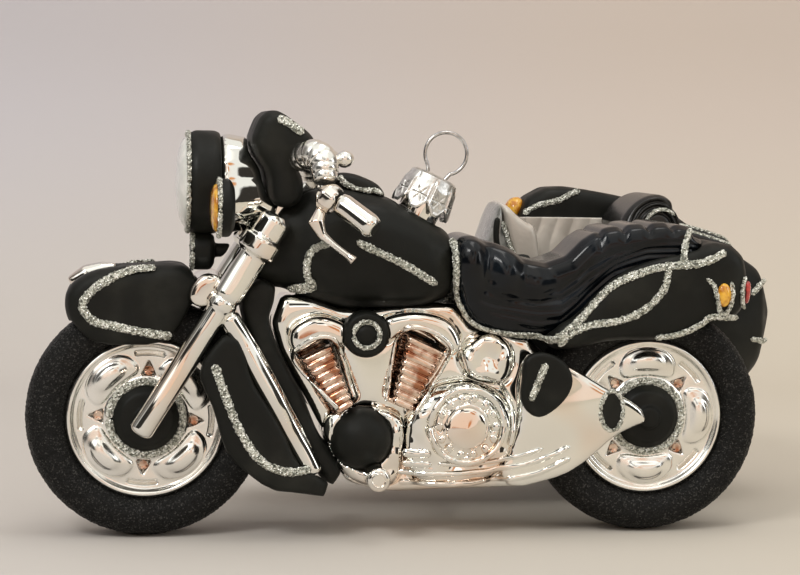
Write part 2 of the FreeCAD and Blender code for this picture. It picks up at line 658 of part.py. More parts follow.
sidecar_fender_outline = [(-34.6, 62.0), (-36.0, 66.2), (-39.6, 68.9), (-44.4, 69.7), (-51.4, 68.9),
                          (-59.0, 67.6), (-68.0, 65.2), (-76.6, 60.4), (-82.4, 52.4), (-84.2, 43.0),
                          (-81.6, 35.0), (-74.0, 31.4), (-57.0, 30.6), (-42.0, 32.0), (-35.4, 38.0),
                          (-33.6, 50.0)]
windscreen_outline = [(-23.6, 57.6), (-24.2, 62.4), (-25.8, 67.0), (-27.4, 66.8), (-29.6, 63.0),
                      (-32.6, 58.6), (-30.0, 56.6), (-26.4, 56.4)]
hood_outline = [(-52.8, 62.2), (-54.6, 65.2), (-58.6, 68.2), (-62.6, 68.4), (-65.4, 65.6),
                (-66.6, 61.8), (-63.0, 59.6), (-57.0, 59.8)]


# Pieces that are used both whole and, grown by the seating gap, as room in their neighbours

def cowl(grow=0.0):
    return moulded(cowl_outline, bike_y, cowl_half_width, 2.6, grow)


def front_fender(grow=0.0):
    return moulded(front_fender_outline, bike_y, front_fender_half_width, 2.6, grow)


def down_tube(grow=0.0):
    return moulded(down_tube_outline, bike_y, frame_tube_half_width, 1.4, grow)


def engine_body(grow=0.0):
    return moulded(body_outline, bike_y, body_half_width, 1.4, grow)


def crankcase(grow=0.0):
    return moulded(crankcase_outline, bike_y, crankcase_half_width, 1.8, grow)


def primary_cover(grow=0.0):
    return moulded(primary_outline, bike_y, primary_half_width, 2.4, grow)


def rocker_cover(outline, grow=0.0):
    return moulded(outline, bike_y, cylinder_half_width + 0.4, 1.2, grow)


def oil_tank(grow=0.0):
    return moulded(oil_tank_outline, bike_y, oil_tank_half_width, 1.4, grow)


def swing_arm(grow=0.0):
    return moulded(swing_arm_outline, bike_y + arm_middle, arm_half_width, 0.7, grow)


def flank_balls(grow=0.0):
    return both_sides(Part.makeSphere(ball_radius + grow, at(ball_x, ball_off, ball_z)))


def sidecar_fender(grow=0.0):
    return moulded(sidecar_fender_outline, sidecar_wheel_y, fender_half_width, 2.4, grow)


def clearances():
    """Room that the main pieces take in their neighbours."""
    head_start = at(front_x, 0, tyre_radius) + fork_axis * 34.0
    return {
        "left leg": fork_leg(1, seat_gap),
        "right leg": fork_leg(-1, seat_gap),
        "steering head": Part.makeCylinder(steering_head_radius + seat_gap, 40.0, head_start, fork_axis),
        "yoke": fork_yoke(seat_gap),
        "shell": headlight_shell(seat_gap),
        "front fender": front_fender(seat_gap),
        "cowl": cowl(seat_gap),
        "tank": tank(seat_gap),
        "seat": seat(seat_gap),
        "bags": saddlebags(seat_gap),
        "rear wheel": wheel_room(rear_x, bike_y, tyre_half_width + arch_side_gap),
        "front barrel": plain_cylinder(front_barrel_top, front_barrel_foot, *front_barrel_halves),
        "rear barrel": plain_cylinder(rear_barrel_top, rear_barrel_foot, *rear_barrel_halves),
        "down tube": down_tube(seat_gap),
        "crankcase": crankcase(seat_gap),
        "primary": primary_cover(seat_gap),
        "oil tank": oil_tank(seat_gap),
        "balls": flank_balls(seat_gap),
        "round cover": Part.makeCylinder(round_radius + seat_gap, 40.0, at(round_x, -20.0, round_z),
                                         vector(0, 1, 0)),
        "hull": sidecar_hull(seat_gap),
    }


def add_wheels():
    fork_reach = fork_spread - slider_radius - seat_gap
    arm_reach = arm_middle - arm_half_width - seat_gap
    parts["front_tyre"] = tyre(front_x, bike_y, tyre_half_width)
    parts["front_wheel_disc"] = wheel_disc(front_x, bike_y, 1.0, 48)
    parts["front_hub"] = hub(front_x, bike_y, hub_half_width, fork_reach, fork_reach)
    parts["rear_tyre"] = tyre(rear_x, bike_y, tyre_half_width)
    parts["rear_wheel_disc"] = wheel_disc(rear_x, bike_y, 1.0, 0)
    parts["rear_hub"] = hub(rear_x, bike_y, hub_half_width, arm_reach, arm_reach)
    hull_reach = sidecar_y - hull_half_width - sidecar_wheel_y - seat_gap
    parts["sidecar_tyre"] = tyre(sidecar_wheel_x, sidecar_wheel_y, sidecar_tyre_half_width)
    parts["sidecar_wheel_disc"] = wheel_disc(sidecar_wheel_x, sidecar_wheel_y, sidecar_disc_scale, 0)
    parts["sidecar_hub"] = hub(sidecar_wheel_x, sidecar_wheel_y, sidecar_hub_half_width, hull_reach,
                               sidecar_hub_half_width + 0.6)


def add_fork(room):
    wheel = wheel_room(front_x, bike_y, tyre_half_width + arch_side_gap)
    legs = (room["left leg"], room["right leg"])
    parts["fork_leg_left"], parts["fork_leg_right"] = fork_leg(1), fork_leg(-1)
    brace = cut_by(fork_brace(), *legs, wheel, room["front fender"])
    parts["fork_yoke"] = Part.makeCompound([cut_by(fork_yoke(), *legs), brace])
    parts["fender_tip"] = bent_tube(fender_tip_path, fender_tip_radii)
    start, end = fender_tip_path[0] + vector(-0.2, 0, 0.1), fender_tip_path[-1] + vector(0.4, 0, -0.2)
    tip_radii = [radius + seat_gap for radius in fender_tip_radii]
    tip_room = bent_tube([start] + fender_tip_path[1:-1] + [end], tip_radii)
    parts["front_fender"] = cut_by(front_fender(), wheel, *legs, tip_room)


def add_lights(room):
    around = (room["steering head"], room["yoke"], room["left leg"], room["right leg"])
    parts["headlight_shell"] = headlight_shell()
    parts["headlight_lens"] = headlight_lens()
    parts["cowl"] = cut_by(cowl(), *around)
    parts["headlight_nacelle"] = cut_by(nacelle(), room["cowl"], room["tank"], *around)
    parts["lower_lamp"] = cut_by(lower_lamp(), room["shell"], room["front fender"], *around)
    nacelle_room = nacelle(seat_gap)
    lamps = [passing_lamp(side * passing_lamp_spread) for side in (1, -1)]
    parts["passing_lamps"] = Part.makeCompound([cut_by(lamp, nacelle_room, room["shell"]) for lamp in lamps])
    lenses = [lamp_lens(passing_lamp_front + seat_gap, side * passing_lamp_spread, passing_lamp_z,
                        passing_lamp_radius - 0.9, 1.3) for side in (1, -1)]
    parts["passing_lenses"] = Part.makeCompound(lenses)


def add_controls(room):
    """Handlebar arches, grips, switch housings, levers and knobs, alike on both sides."""
    arch = bent_tube(arch_path, arch_radii)
    arch_end = arch_path[-1] + vector(0, 0, -0.2)
    arch_room = bent_tube(arch_path[:-1] + [arch_end], [radius + seat_gap for radius in arch_radii])
    grip_radii = [grip_radius - 0.3, grip_radius, grip_radius, grip_end_radius]
    grip_room = bent_tube([grip_inlet] + grip_path[1:], [grip_radius + 0.3] * len(grip_path))
    housing_room = bent_tube(housing_path, [radius + seat_gap for radius in housing_radii])
    parts["handlebar"] = both_sides(arch.cut(room["cowl"]))
    parts["grips"] = both_sides(bent_tube(grip_path, grip_radii))
    housing = bent_tube(housing_path, housing_radii)
    parts["switch_housings"] = both_sides(cut_by(housing, grip_room, arch_room))
    parts["levers"] = both_sides(cut_by(bent_tube(lever_path, lever_radii), housing_room, grip_room))
    profile = [(0, -knob_radius)]
    for angle in (30, 60, 90, 120, 150):
        turn = math.radians(angle)
        profile.append((knob_radius * math.sin(turn), -knob_radius * math.cos(turn)))
    profile += [(knob_stalk_radius, knob_radius), (knob_stalk_radius, knob_stalk_length)]
    profile += [(0, knob_stalk_length)]
    knob = turned(profile, knob_middle, arch_path[3] - knob_middle)
    parts["handlebar_knobs"] = both_sides(knob.cut(arch_room))


def add_bodywork(room):
    front = (room["left leg"], room["right leg"], room["steering head"], room["yoke"], room["cowl"])
    parts["tank"] = cut_by(tank(), *front, neck_bore(neck_outer_radius + seat_gap))
    parts["console"] = moulded(console_outline, bike_y, 4.4, 1.6).cut(room["tank"])
    parts["seat"] = seat().cut(room["tank"])
    parts["saddlebags"] = cut_by(saddlebags(), room["seat"], room["rear wheel"])
    amber = turned([(0, 0), (1.5, 0), (1.3, 0.5), (0.7, 0.9), (0, 1.0)],
                   at(amber_x, saddlebag_half_width + seat_gap, amber_z), (0, 1, 0))
    parts["amber_lamps"] = both_sides(amber)
    tail = turned([(0, 0), (2.2, 0), (2.0, 1.0), (1.2, 1.7), (0, 2.0)],
                  at(tail_lamp_x, 0, tail_lamp_z), (-1, 0, 0))
    parts["tail_lamp"] = tail.cut(room["bags"])


def add_engine(room):
    barrels = (room["front barrel"], room["rear barrel"])
    parts["front_cylinder"] = finned_cylinder(front_barrel_top, front_barrel_foot, *front_barrel_halves)
    parts["rear_cylinder"] = finned_cylinder(rear_barrel_top, rear_barrel_foot, *rear_barrel_halves)
    parts["primary_cover"] = primary_cover()
    parts["crankcase"] = cut_by(crankcase(), room["down tube"], room["primary"], *barrels, room["balls"])
    rocker_rooms = []
    for name, outline, barrel in (("front_rocker_cover", front_rocker_outline, barrels[0]),
                                  ("rear_rocker_cover", rear_rocker_outline, barrels[1])):
        parts[name] = cut_by(rocker_cover(outline), barrel, room["tank"], room["round cover"])
        rocker_rooms.append(rocker_cover(outline, seat_gap))
    parts["oil_tank"] = oil_tank().cut(room["seat"])
    around = [room[name] for name in ("down tube", "crankcase", "primary", "oil tank", "tank", "seat", "bags",
                                      "balls")]
    wheel = wheel_room(rear_x, bike_y, 20)
    body = cut_by(engine_body(), *barrels, *rocker_rooms, *around, wheel)
    parts["engine_body"] = max(body.Solids, key=lambda solid: solid.Volume)


def add_frame(room):
    """Down tube, front tubes, leg guards and swing arms."""
    steering = (room["steering head"], room["yoke"])
    parts["down_tube"] = cut_by(down_tube(), room["tank"], *steering)
    start, end = front_tube_path[0] + vector(0.4, 0, 0.7), front_tube_path[-1] - vector(0.4, 0, 0.7)
    room_radii = [radius + seat_gap for radius in front_tube_radii]
    tube_room = bent_tube([start] + front_tube_path[1:-1] + [end], room_radii)
    tube = cut_by(bent_tube(front_tube_path, front_tube_radii), room["down tube"], room["left leg"])
    parts["front_tubes"] = both_sides(tube)
    guard = moulded(leg_guard_outline, bike_y + guard_middle, guard_half_width, 0.9)
    parts["leg_guards"] = both_sides(cut_by(guard, tube_room, room["balls"]))
    parts["swing_arms"] = both_sides(cut_by(swing_arm(), room["primary"], room["oil tank"], room["bags"]))


def derby_cover():
    """Round cover with a ring of eight small dimples."""
    start = primary_half_width + seat_gap
    cover = turned([(0, 0), (7.0, 0), (7.0, 0.7), (6.2, 1.3), (4.6, 1.3), (3.6, 1.9), (0, 2.4)],
                   at(derby_x, start, derby_z), (0, 1, 0))
    for number in range(8):
        angle = math.radians(45 * number)
        centre = at(derby_x + derby_ring_radius * math.cos(angle), primary_half_width + 0.9,
                    derby_z + derby_ring_radius * math.sin(angle))
        rings = [ring_at(centre + vector(0, 0.9, 0), vector(1, 0, 0), vector(0, 0, 1), 0.9, 0.9, 8),
                 ring_at(centre, vector(1, 0, 0), vector(0, 0, 1), 0.5, 0.5, 8)]
        cover = cover.cut(facing_out(Part.makeLoft(rings, True, True)))
    return cover


def add_covers(room):
    """Round, ball and side covers and the foot pegs, alike on both sides."""
    profile = [(0, 0), (round_radius, 0), (round_radius, 3.6), (4.0, 4.4), (3.2, 4.4), (2.4, 4.0), (1.2, 4.6),
               (0, 4.8)]
    round_cover = turned(profile, at(round_x, body_half_width + seat_gap, round_z), (0, 1, 0))
    parts["round_covers"] = both_sides(round_cover)
    parts["derby_covers"] = both_sides(derby_cover())
    peg = Part.makeCylinder(peg_radius, peg_length, at(peg_x, crankcase_half_width + seat_gap, peg_z),
                            vector(0, 1, 0))
    parts["foot_pegs"] = both_sides(peg.makeChamfer(0.6, [peg.Edges[0]]).cut(room["balls"]))
    inside = Part.makeBox(60, 40, 60, at(-30, -40 + body_half_width + seat_gap, -10))
    ball = Part.makeSphere(ball_radius, at(ball_x, ball_off, ball_z))
    parts["ball_covers"] = both_sides(cut_by(ball, inside, room["down tube"]))
    side_cover = moulded(side_cover_outline, bike_y + side_cover_middle, side_cover_half_width, 0.6)
    parts["side_covers"] = both_sides(side_cover)


def add_hanging_gear():
    parts["neck"] = neck()
    parts["cap"] = cap()
    parts["hanger"] = hanger()


def rack_rib(off):
    """One rib of the rack, lower the further out it lies on the crowned deck."""
    fall = rack_crown * abs(off) ** 3
    path = [vector(x, sidecar_y + off, z - fall) for x, z in rack_side]
    return bent_tube(path, [rack_radius - 0.1, rack_radius, rack_radius, rack_radius - 0.1], count=8)


def add_sidecar(room):
    parts["sidecar_body"] = sidecar_hull().cut(cockpit())
    wheel = wheel_room(sidecar_wheel_x, sidecar_wheel_y, sidecar_tyre_half_width + 0.35)
    parts["sidecar_fender"] = cut_by(sidecar_fender(), wheel, room["hull"])
    parts["sidecar_windscreen"] = moulded(windscreen_outline, sidecar_y, 9.4, 1.0).cut(room["hull"])
    parts["sidecar_hood"] = moulded(hood_outline, sidecar_y, 10.6, 2.0).cut(room["hull"])
    ribs = [rack_rib(rack_pitch * (number - 1.5)).cut(room["hull"]) for number in range(4)]
    parts["sidecar_rack"] = Part.makeCompound(ribs)
    lamp = turned([(0, 0), (2.0, 0), (2.0, 0.8), (1.3, 1.6), (0, 1.9)], sidecar_lamp_foot, sidecar_lamp_axis)
    parts["sidecar_lamp"] = lamp.cut(sidecar_fender(seat_gap))


def add_struts(room):
    """Three struts from the motorcycle's flank to the sidecar."""
    rooms = [room[name] for name in ("hull", "crankcase", "primary", "down tube", "oil tank", "front barrel",
                                     "rear barrel")]
    rooms += [engine_body(seat_gap), mirrored(swing_arm(seat_gap))]
    struts = []
    for x, z in strut_places:
        strut = Part.makeCylinder(strut_radius, strut_reach, vector(x, sidecar_y + 8.0, z), vector(0, 1, 0))
        struts.append(cut_by(strut, *rooms))
    parts["sidecar_struts"] = Part.makeCompound(struts)


def build():
    room = clearances()
    add_wheels()
    add_fork(room)
    add_lights(room)
    add_controls(room)
    add_bodywork(room)
    add_engine(room)
    add_frame(room)
    add_covers(room)
    add_hanging_gear()
    add_sidecar(room)
    add_struts(room)


def export():
    os.makedirs("parts", exist_ok=True)
    for name, shape in parts.items():
        solids = shape.Solids
        whole = solids[0] if len(solids) == 1 else Part.makeCompound(solids)
        whole.translate(origin_shift)
        whole.exportStep("parts/" + name + ".step")
        print(name, len(solids), round(whole.Volume, 1), whole.isValid())


build()
export()
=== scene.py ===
import json
import math

import bmesh
import bpy
import numpy as np
from mathutils import Matrix, Vector
from mathutils.bvhtree import BVHTree

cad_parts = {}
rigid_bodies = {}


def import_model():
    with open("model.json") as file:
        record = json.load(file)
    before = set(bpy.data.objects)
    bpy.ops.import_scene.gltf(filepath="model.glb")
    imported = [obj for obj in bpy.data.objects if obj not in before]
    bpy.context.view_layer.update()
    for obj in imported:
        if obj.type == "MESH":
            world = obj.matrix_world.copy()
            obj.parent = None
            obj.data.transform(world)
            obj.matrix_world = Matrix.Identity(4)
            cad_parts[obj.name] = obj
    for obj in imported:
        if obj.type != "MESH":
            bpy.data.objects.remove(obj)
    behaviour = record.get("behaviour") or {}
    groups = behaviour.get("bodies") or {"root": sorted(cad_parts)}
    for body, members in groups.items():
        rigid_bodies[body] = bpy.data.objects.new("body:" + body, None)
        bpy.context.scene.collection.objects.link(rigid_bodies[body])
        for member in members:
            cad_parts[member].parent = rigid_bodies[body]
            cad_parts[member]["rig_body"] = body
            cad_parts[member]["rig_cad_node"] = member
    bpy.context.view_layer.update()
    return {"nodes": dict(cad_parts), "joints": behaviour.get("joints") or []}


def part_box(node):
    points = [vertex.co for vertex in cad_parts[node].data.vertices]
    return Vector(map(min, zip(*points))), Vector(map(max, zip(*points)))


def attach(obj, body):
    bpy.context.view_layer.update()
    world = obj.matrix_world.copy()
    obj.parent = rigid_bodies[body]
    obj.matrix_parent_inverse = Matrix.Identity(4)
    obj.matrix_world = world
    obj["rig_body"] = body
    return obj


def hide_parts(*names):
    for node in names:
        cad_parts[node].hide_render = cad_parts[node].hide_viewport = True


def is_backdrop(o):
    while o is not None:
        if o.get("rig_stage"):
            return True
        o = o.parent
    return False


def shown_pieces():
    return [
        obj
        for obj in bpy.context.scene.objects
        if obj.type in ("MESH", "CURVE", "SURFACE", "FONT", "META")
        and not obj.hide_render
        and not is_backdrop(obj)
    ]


# Blown glass hanging ornament: a touring motorcycle with a sidecar, lacquered, silvered and glittered.
# Drawing sizes are in millimetres: x from the middle of the wheelbase, off from the motorcycle's
# middle plane to its left, z from the floor. place() turns them into the frame's metres.

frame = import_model()
nodes = frame["nodes"]
mm = 0.001
grains = np.random.default_rng(11)


def middle(node):
    low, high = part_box(node)
    return (low + high) / 2


frontAxle, rearAxle, sideAxle = middle("front_tyre"), middle("rear_tyre"), middle("sidecar_tyre")
originX = (frontAxle.x + rearAxle.x) / 2
bikeY = frontAxle.y
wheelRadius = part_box("front_tyre")[1].z / 2
print("frame loaded, wheelbase", round((frontAxle.x - rearAxle.x) / mm, 1), "mm")


# Points of the drawing in the frame, for arrays of (x, off, z) rows in millimetres
def place(points):
    points = np.asarray(points, float)
    return points * mm + np.array([originX, bikeY, 0.0])


def linked(name, data):  # a new object in the scene
    made = bpy.data.objects.new(name, data)
    bpy.context.scene.collection.objects.link(made)
    return made


# Node graphs

class Signal:  # one output socket, with the sums that the finishes use
    def __init__(self, graph, socket):
        self.graph = graph
        self.socket = socket

    def __add__(self, other):
        return self.graph.sum("ADD", self, other)

    def __sub__(self, other):
        return self.graph.sum("SUBTRACT", self, other)

    def __mul__(self, other):
        return self.graph.sum("MULTIPLY", self, other)


class Graph:  # a material's or the world's nodes
    def __init__(self, owner, outputKind):
        owner.use_nodes = True
        self.tree = owner.node_tree
        self.tree.nodes.clear()
        self.output = self.tree.nodes.new(outputKind)

    def feed(self, socket, value):
        if isinstance(value, Signal):
            self.tree.links.new(value.socket, socket)
        elif isinstance(value, tuple) and len(value) == 3 and len(socket.default_value) == 4:
            socket.default_value = (*value, 1.0)
        else:
            socket.default_value = value

    def node(self, kind, settings, sockets, out=0):
        made = self.tree.nodes.new(kind)
        for name, value in settings.items():
            if name == "stops":
                stops = made.color_ramp.elements
                while len(stops) < len(value):
                    stops.new(0.5)
                for stop, (spot, colour) in zip(stops, value):
                    stop.position = spot
                    stop.color = (*colour, 1.0)
            else:
                setattr(made, name, value)
        for name, value in sockets.items():
            self.feed(made.inputs[name], value)
        return Signal(self, made.outputs[out])

    def sum(self, operation, first, second):
        return self.node("ShaderNodeMath", {"operation": operation}, {0: first, 1: second})

    def mix(self, share, first, second):
        return self.node("ShaderNodeMix", {"data_type": "RGBA"}, {0: share, 6: first, 7: second}, out=2)

    def spot(self):
        return self.node("ShaderNodeTexCoord", {}, {}, out="Object")

    def noise(self, where, size, detail):
        sockets = {"Vector": where, "Scale": 1.0 / (size * mm), "Detail": detail}
        return self.node("ShaderNodeTexNoise", {}, sockets)

    def cells(self, where, size, out="Color"):
        sockets = {"Vector": where, "Scale": 1.0 / (size * mm)}
        return self.node("ShaderNodeTexVoronoi", {}, sockets, out=out)

    def part(self, value, out):  # one number out of a colour or a vector
        kind = "ShaderNodeSeparateColor" if out == "Red" else "ShaderNodeSeparateXYZ"
        return self.node(kind, {}, {0: value}, out=out)

    def ease(self, value, low, high, start=0.0, end=1.0):
        sockets = {"Value": value, "From Min": low, "From Max": high, "To Min": start, "To Max": end}
        return self.node("ShaderNodeMapRange", {"interpolation_type": "SMOOTHSTEP"}, sockets)

    def wander(self, where, size, detail, low, high, start=0.0, end=1.0):
        return self.ease(self.noise(where, size, detail), low, high, start, end)

    def bump(self, height, depth, strength=1.0):
        sockets = {"Height": height, "Distance": depth * mm, "Strength": strength}
        return self.node("ShaderNodeBump", {}, sockets, out="Normal")

    def surface(self, **sockets):
        named = {name.replace("_", " "): value for name, value in sockets.items()}
        shader = self.node("ShaderNodeBsdfPrincipled", {}, named)
        self.tree.links.new(shader.socket, self.output.inputs["Surface"])


def finish(name):
    material = bpy.data.materials.new(name)
    return material, Graph(material, "ShaderNodeOutputMaterial")


# Finishes

# A coat whose colour wanders between two, with an even or a wandering roughness and waves in its surface
def coat(name, first, second, tone, rough, waves, more):
    material, graph = finish(name)
    where = graph.spot()
    sockets = dict(more)
    if waves:
        size, detail, depth, *strength = waves
        sockets["Normal"] = graph.bump(graph.noise(where, size, detail), depth, *strength)
    sockets["Roughness"] = graph.wander(where, *rough) if isinstance(rough, tuple) else rough
    graph.surface(Base_Color=graph.mix(graph.wander(where, *tone), first, second), **sockets)
    return material


sandLook = {"grain": 0.24, "pale": (0.84, 0.97)}


def tyreSand():  # black sand in lacquer, each grain a little lighter or darker
    material, graph = finish("tyreSand")
    where = graph.spot()
    grain = graph.part(graph.cells(where, sandLook["grain"]), "Red")
    tone = graph.ease(grain, *sandLook["pale"])
    graph.surface(Base_Color=graph.mix(tone, (0.0035, 0.0036, 0.0033), (0.045, 0.044, 0.041)),
                  Roughness=graph.ease(grain, 0.0, 1.0, 0.8, 0.4), Specular_IOR_Level=0.24,
                  Normal=graph.bump(graph.cells(where, sandLook["grain"], "Distance"), 0.12, 0.9))
    return material


glitterLook = {"flake": 0.36, "stops": [(0.0, (0.14, 0.145, 0.12)), (0.3, (0.42, 0.43, 0.37)),
                                        (0.65, (0.76, 0.77, 0.69)), (1.0, (0.97, 0.97, 0.92))]}


def glitterSilver():  # coarse silver glitter: each flake has its own brightness and slope
    material, graph = finish("glitterSilver")
    where = graph.spot()
    flake = graph.part(graph.cells(where, glitterLook["flake"]), "Red")
    colour = graph.node("ShaderNodeValToRGB", {"stops": glitterLook["stops"]}, {0: flake})
    graph.surface(Base_Color=colour, Metallic=0.75, Roughness=0.3,
                  Normal=graph.bump(graph.cells(where, glitterLook["flake"], "Distance"), 0.3))
    return material


metal = {"Metallic": 1.0}
# Silver glass tones: near-white silver and a peach that is painted reflection of warm surroundings, mixed in
# large patches
silverAndPaintedReflectionTones = ((0.88, 0.875, 0.83), (0.86, 0.74, 0.64), (16.0, 1.0, 0.46, 0.7), 0.05)
mattTones = ((0.007, 0.0075, 0.006), (0.017, 0.0175, 0.014), (9.0, 4.0, 0.45, 0.75),
             (5.0, 3.0, 0.3, 0.7, 0.42, 0.6), (0.35, 2.0, 0.05, 0.5), {"Specular_IOR_Level": 0.2})
lacquerLook = (0.18, (1.2, 1.0, 0.08), {"Coat_Weight": 0.7, "Coat_Roughness": 0.08})


def lacquer(name, slot, first, second, patch=1.6):  # coloured lacquer over silver, mottled in patches of mm
    return (name, slot, first, second, (patch, 2.0, 0.35, 0.65), *lacquerLook)


# Look: material, slot, two colours and the noise between them as (size in mm, detail, noise at the first,
# noise at the second), roughness, even or as such a noise and two values, waves as (size, detail, depth in
# mm), other sockets
coats = {
    # Silver and rippled glass: silver with patches of painted peach reflection
    "silver": ("silverGlass", "silver_glass", *silverAndPaintedReflectionTones, (11.0, 0.0, 1.3), metal),
    "rippled": ("rippledGlass", "silver_glass", *silverAndPaintedReflectionTones, (3.2, 0.0, 1.15), metal),
    # Copper: peach and dark brown in mottled patches, a painted reflection of warm surroundings
    "copper": ("copperGlass", "copper_glass", (0.83, 0.66, 0.54), (0.40, 0.17, 0.09),
               (2.6, 3.0, 0.38, 0.64), 0.16, (3.0, 1.0, 0.3), metal),
    "milky": ("pearlSilver", "silver_glass", (0.95, 0.945, 0.91), (0.87, 0.85, 0.80),
              (7.0, 1.0, 0.35, 0.7), 0.2, (5.0, 0.0, 0.35), metal),
    "matt": ("mattBlack", "black_matt", *mattTones),
    "hub": ("mattBlack", "black_gloss", *mattTones),
    # Seat: black whose blue tint is a painted blue sheen standing in for its reflections
    "seat": ("seatBlack", "black_gloss", (0.002, 0.003, 0.0045), (0.006, 0.009, 0.013),
             (8.0, 2.0, 0.4, 0.7), 0.16, (3.4, 1.0, 0.03), {"Specular_IOR_Level": 0.3}),
    "satin": ("satinBlack", "black_matt", (0.005, 0.005, 0.005), (0.012, 0.012, 0.0105),
              (4.0, 2.0, 0.4, 0.7), 0.27, (1.4, 2.0, 0.05), {}),
    "pearl": lacquer("pearlWhite", "white_lens", (0.74, 0.76, 0.72), (0.88, 0.88, 0.84), 4.0),
    "liner": lacquer("linerSilver", "silver_glass", (0.54, 0.49, 0.43), (0.68, 0.63, 0.56), 6.0),
    "pewter": lacquer("pewterGlass", "silver_glass", (0.10, 0.105, 0.095), (0.30, 0.30, 0.28), 2.4),
    "amber": lacquer("amberLacquer", "amber_glass", (0.56, 0.20, 0.01), (0.90, 0.50, 0.05)),
    "red": lacquer("redLacquer", "red_glass", (0.30, 0.02, 0.02), (0.62, 0.05, 0.04)),
    "cap": ("stampedMetal", "cap_metal", (0.66, 0.655, 0.63), (0.88, 0.87, 0.84),
            (1.1, 3.0, 0.3, 0.7), (2.0, 2.0, 0.3, 0.7, 0.26, 0.4), (0.5, 2.0, 0.03), metal),
    "wire": ("brightWire", "wire", (0.42, 0.42, 0.42), (0.66, 0.66, 0.66), (0.8, 2.0, 0.3, 0.7), 0.2, None,
             metal),
}
finishes = {look: (coat(name, *settings), slot) for look, (name, slot, *settings) in coats.items()}
finishes["tyre"] = (tyreSand(), "tyre_glitter")
finishes["glitter"] = (glitterSilver(), "silver_glass")
print("finishes made:", len(finishes))


# Mesh tools

def addPiece(name, vertices, faces, look, body="glass", smooth=True, stands=()):
    mesh = bpy.data.meshes.new(name)
    faces = np.asarray(faces, np.int32)
    mesh.vertices.add(len(vertices))
    mesh.vertices.foreach_set("co", np.asarray(vertices, np.float32).ravel())
    mesh.loops.add(faces.size)
    mesh.loops.foreach_set("vertex_index", faces.ravel())
    mesh.polygons.add(len(faces))
    mesh.polygons.foreach_set("loop_start", np.arange(0, faces.size, faces.shape[1], dtype=np.int32))
    mesh.update(calc_edges=True)
    closed = bmesh.new()
    closed.from_mesh(mesh)
    bmesh.ops.holes_fill(closed, edges=closed.edges)
    closed.to_mesh(mesh)
    closed.free()
    return dress(linked(name, mesh), look, body, smooth, stands)


# Finish, body and the nodes that the piece stands for
def dress(piece, look, body="glass", smooth=True, stands=()):
    material, slot = finishes[look]
    piece.data.materials.clear()
    piece.data.materials.append(material)
    piece.data.polygons.foreach_set("use_smooth", np.full(len(piece.data.polygons), smooth))
    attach(piece, body)
    if stands:
        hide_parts(*stands)
    return piece


# Quads of a grid of rows and columns, which may close round in either direction
def gridFaces(rows, cols, roundRows=False, roundCols=False):
    i, j = np.meshgrid(np.arange(rows if roundRows else rows - 1), np.arange(cols if roundCols else cols - 1),
                       indexing="ij")
    nextRow, nextCol = (i + 1) % rows, (j + 1) % cols
    corners = [i * cols + j, i * cols + nextCol, nextRow * cols + nextCol, nextRow * cols + j]
    return np.stack(corners, -1).reshape(-1, 4)


# Patches: each an array of rings, (row, place round the ring, 3) in drawing sizes, joined into one piece
def patchPiece(name, patches, look, smooth=True, stands=()):
    vertices, faces, start = [], [], 0
    for rings in patches:
        rows, cols = rings.shape[:2]
        faces.append(gridFaces(rows, cols, False, True) + start)
        vertices.append(place(rings.reshape(-1, 3)))
        start += rows * cols
    return addPiece(name, np.vstack(vertices), np.vstack(faces), look, smooth=smooth, stands=stands)


# Each patch with its copy on the right, whose rings run the other way to face outwards
def mirrored(patches):
    return [copy for rings in patches for copy in (rings, (rings * [1, -1, 1])[:, ::-1])]


# Points every `step` along a smooth curve through the points, blended from the four round each stretch
def smoothPath(points, step, closed=False):
    points = np.asarray(points, float)
    if closed:
        points = np.vstack([points[-1:], points, points[:2]])
    else:
        points = np.vstack([2 * points[:1] - points[1:2], points, 2 * points[-1:] - points[-2:-1]])
    a, b, c, d = points[:-3], points[1:-2], points[2:-1], points[3:]
    t = np.linspace(0, 1, 24, endpoint=False)[None, :, None]
    a, b, c, d = (p[:, None, :] for p in (a, b, c, d))
    bend, twist = 2 * a - 5 * b + 4 * c - d, 3 * b - a - 3 * c + d
    fine = 0.5 * (2 * b + (c - a) * t + bend * t ** 2 + twist * t ** 3)
    fine = np.vstack([fine.reshape(-1, points.shape[1]), points[-2:-1]])
    run = np.concatenate([[0], np.cumsum(np.linalg.norm(np.diff(fine, axis=0), axis=1))])
    count = max(int(run[-1] / step), 3)
    spots = np.linspace(0, run[-1], count, endpoint=not closed)
    return np.stack([np.interp(spots, run, fine[:, k]) for k in range(fine.shape[1])], -1)


# Tube: each path point carries a ring of radius r set square to the path
def tubeAlong(path, radii, sides=20):
    along = np.gradient(path, axis=0)
    along /= np.linalg.norm(along, axis=1)[:, None]
    first = np.array([0.0, 1.0, 0.0]) - along * along[:, 1:2]
    first /= np.linalg.norm(first, axis=1)[:, None]
    second = np.cross(along, first)
    turn = np.linspace(0, 2 * np.pi, sides, endpoint=False)
    rings = path[:, None, :] + np.asarray(radii)[:, None, None] * (
        first[:, None, :] * np.cos(turn)[None, :, None] + second[:, None, :] * np.sin(turn)[None, :, None])
    return rings


def roundedEnds(count, share=0.06):  # radius factor that closes both ends of a tube like a quarter circle
    along = np.linspace(0, 1, count)
    end = np.clip(np.minimum(along, 1 - along) / share, 0, 1)
    return np.sqrt(np.clip(1 - (1 - end) ** 2, 0.0004, 1))


# Melted copies: the node's solid is refilled at a fine pitch, then its edges are melted as glass does

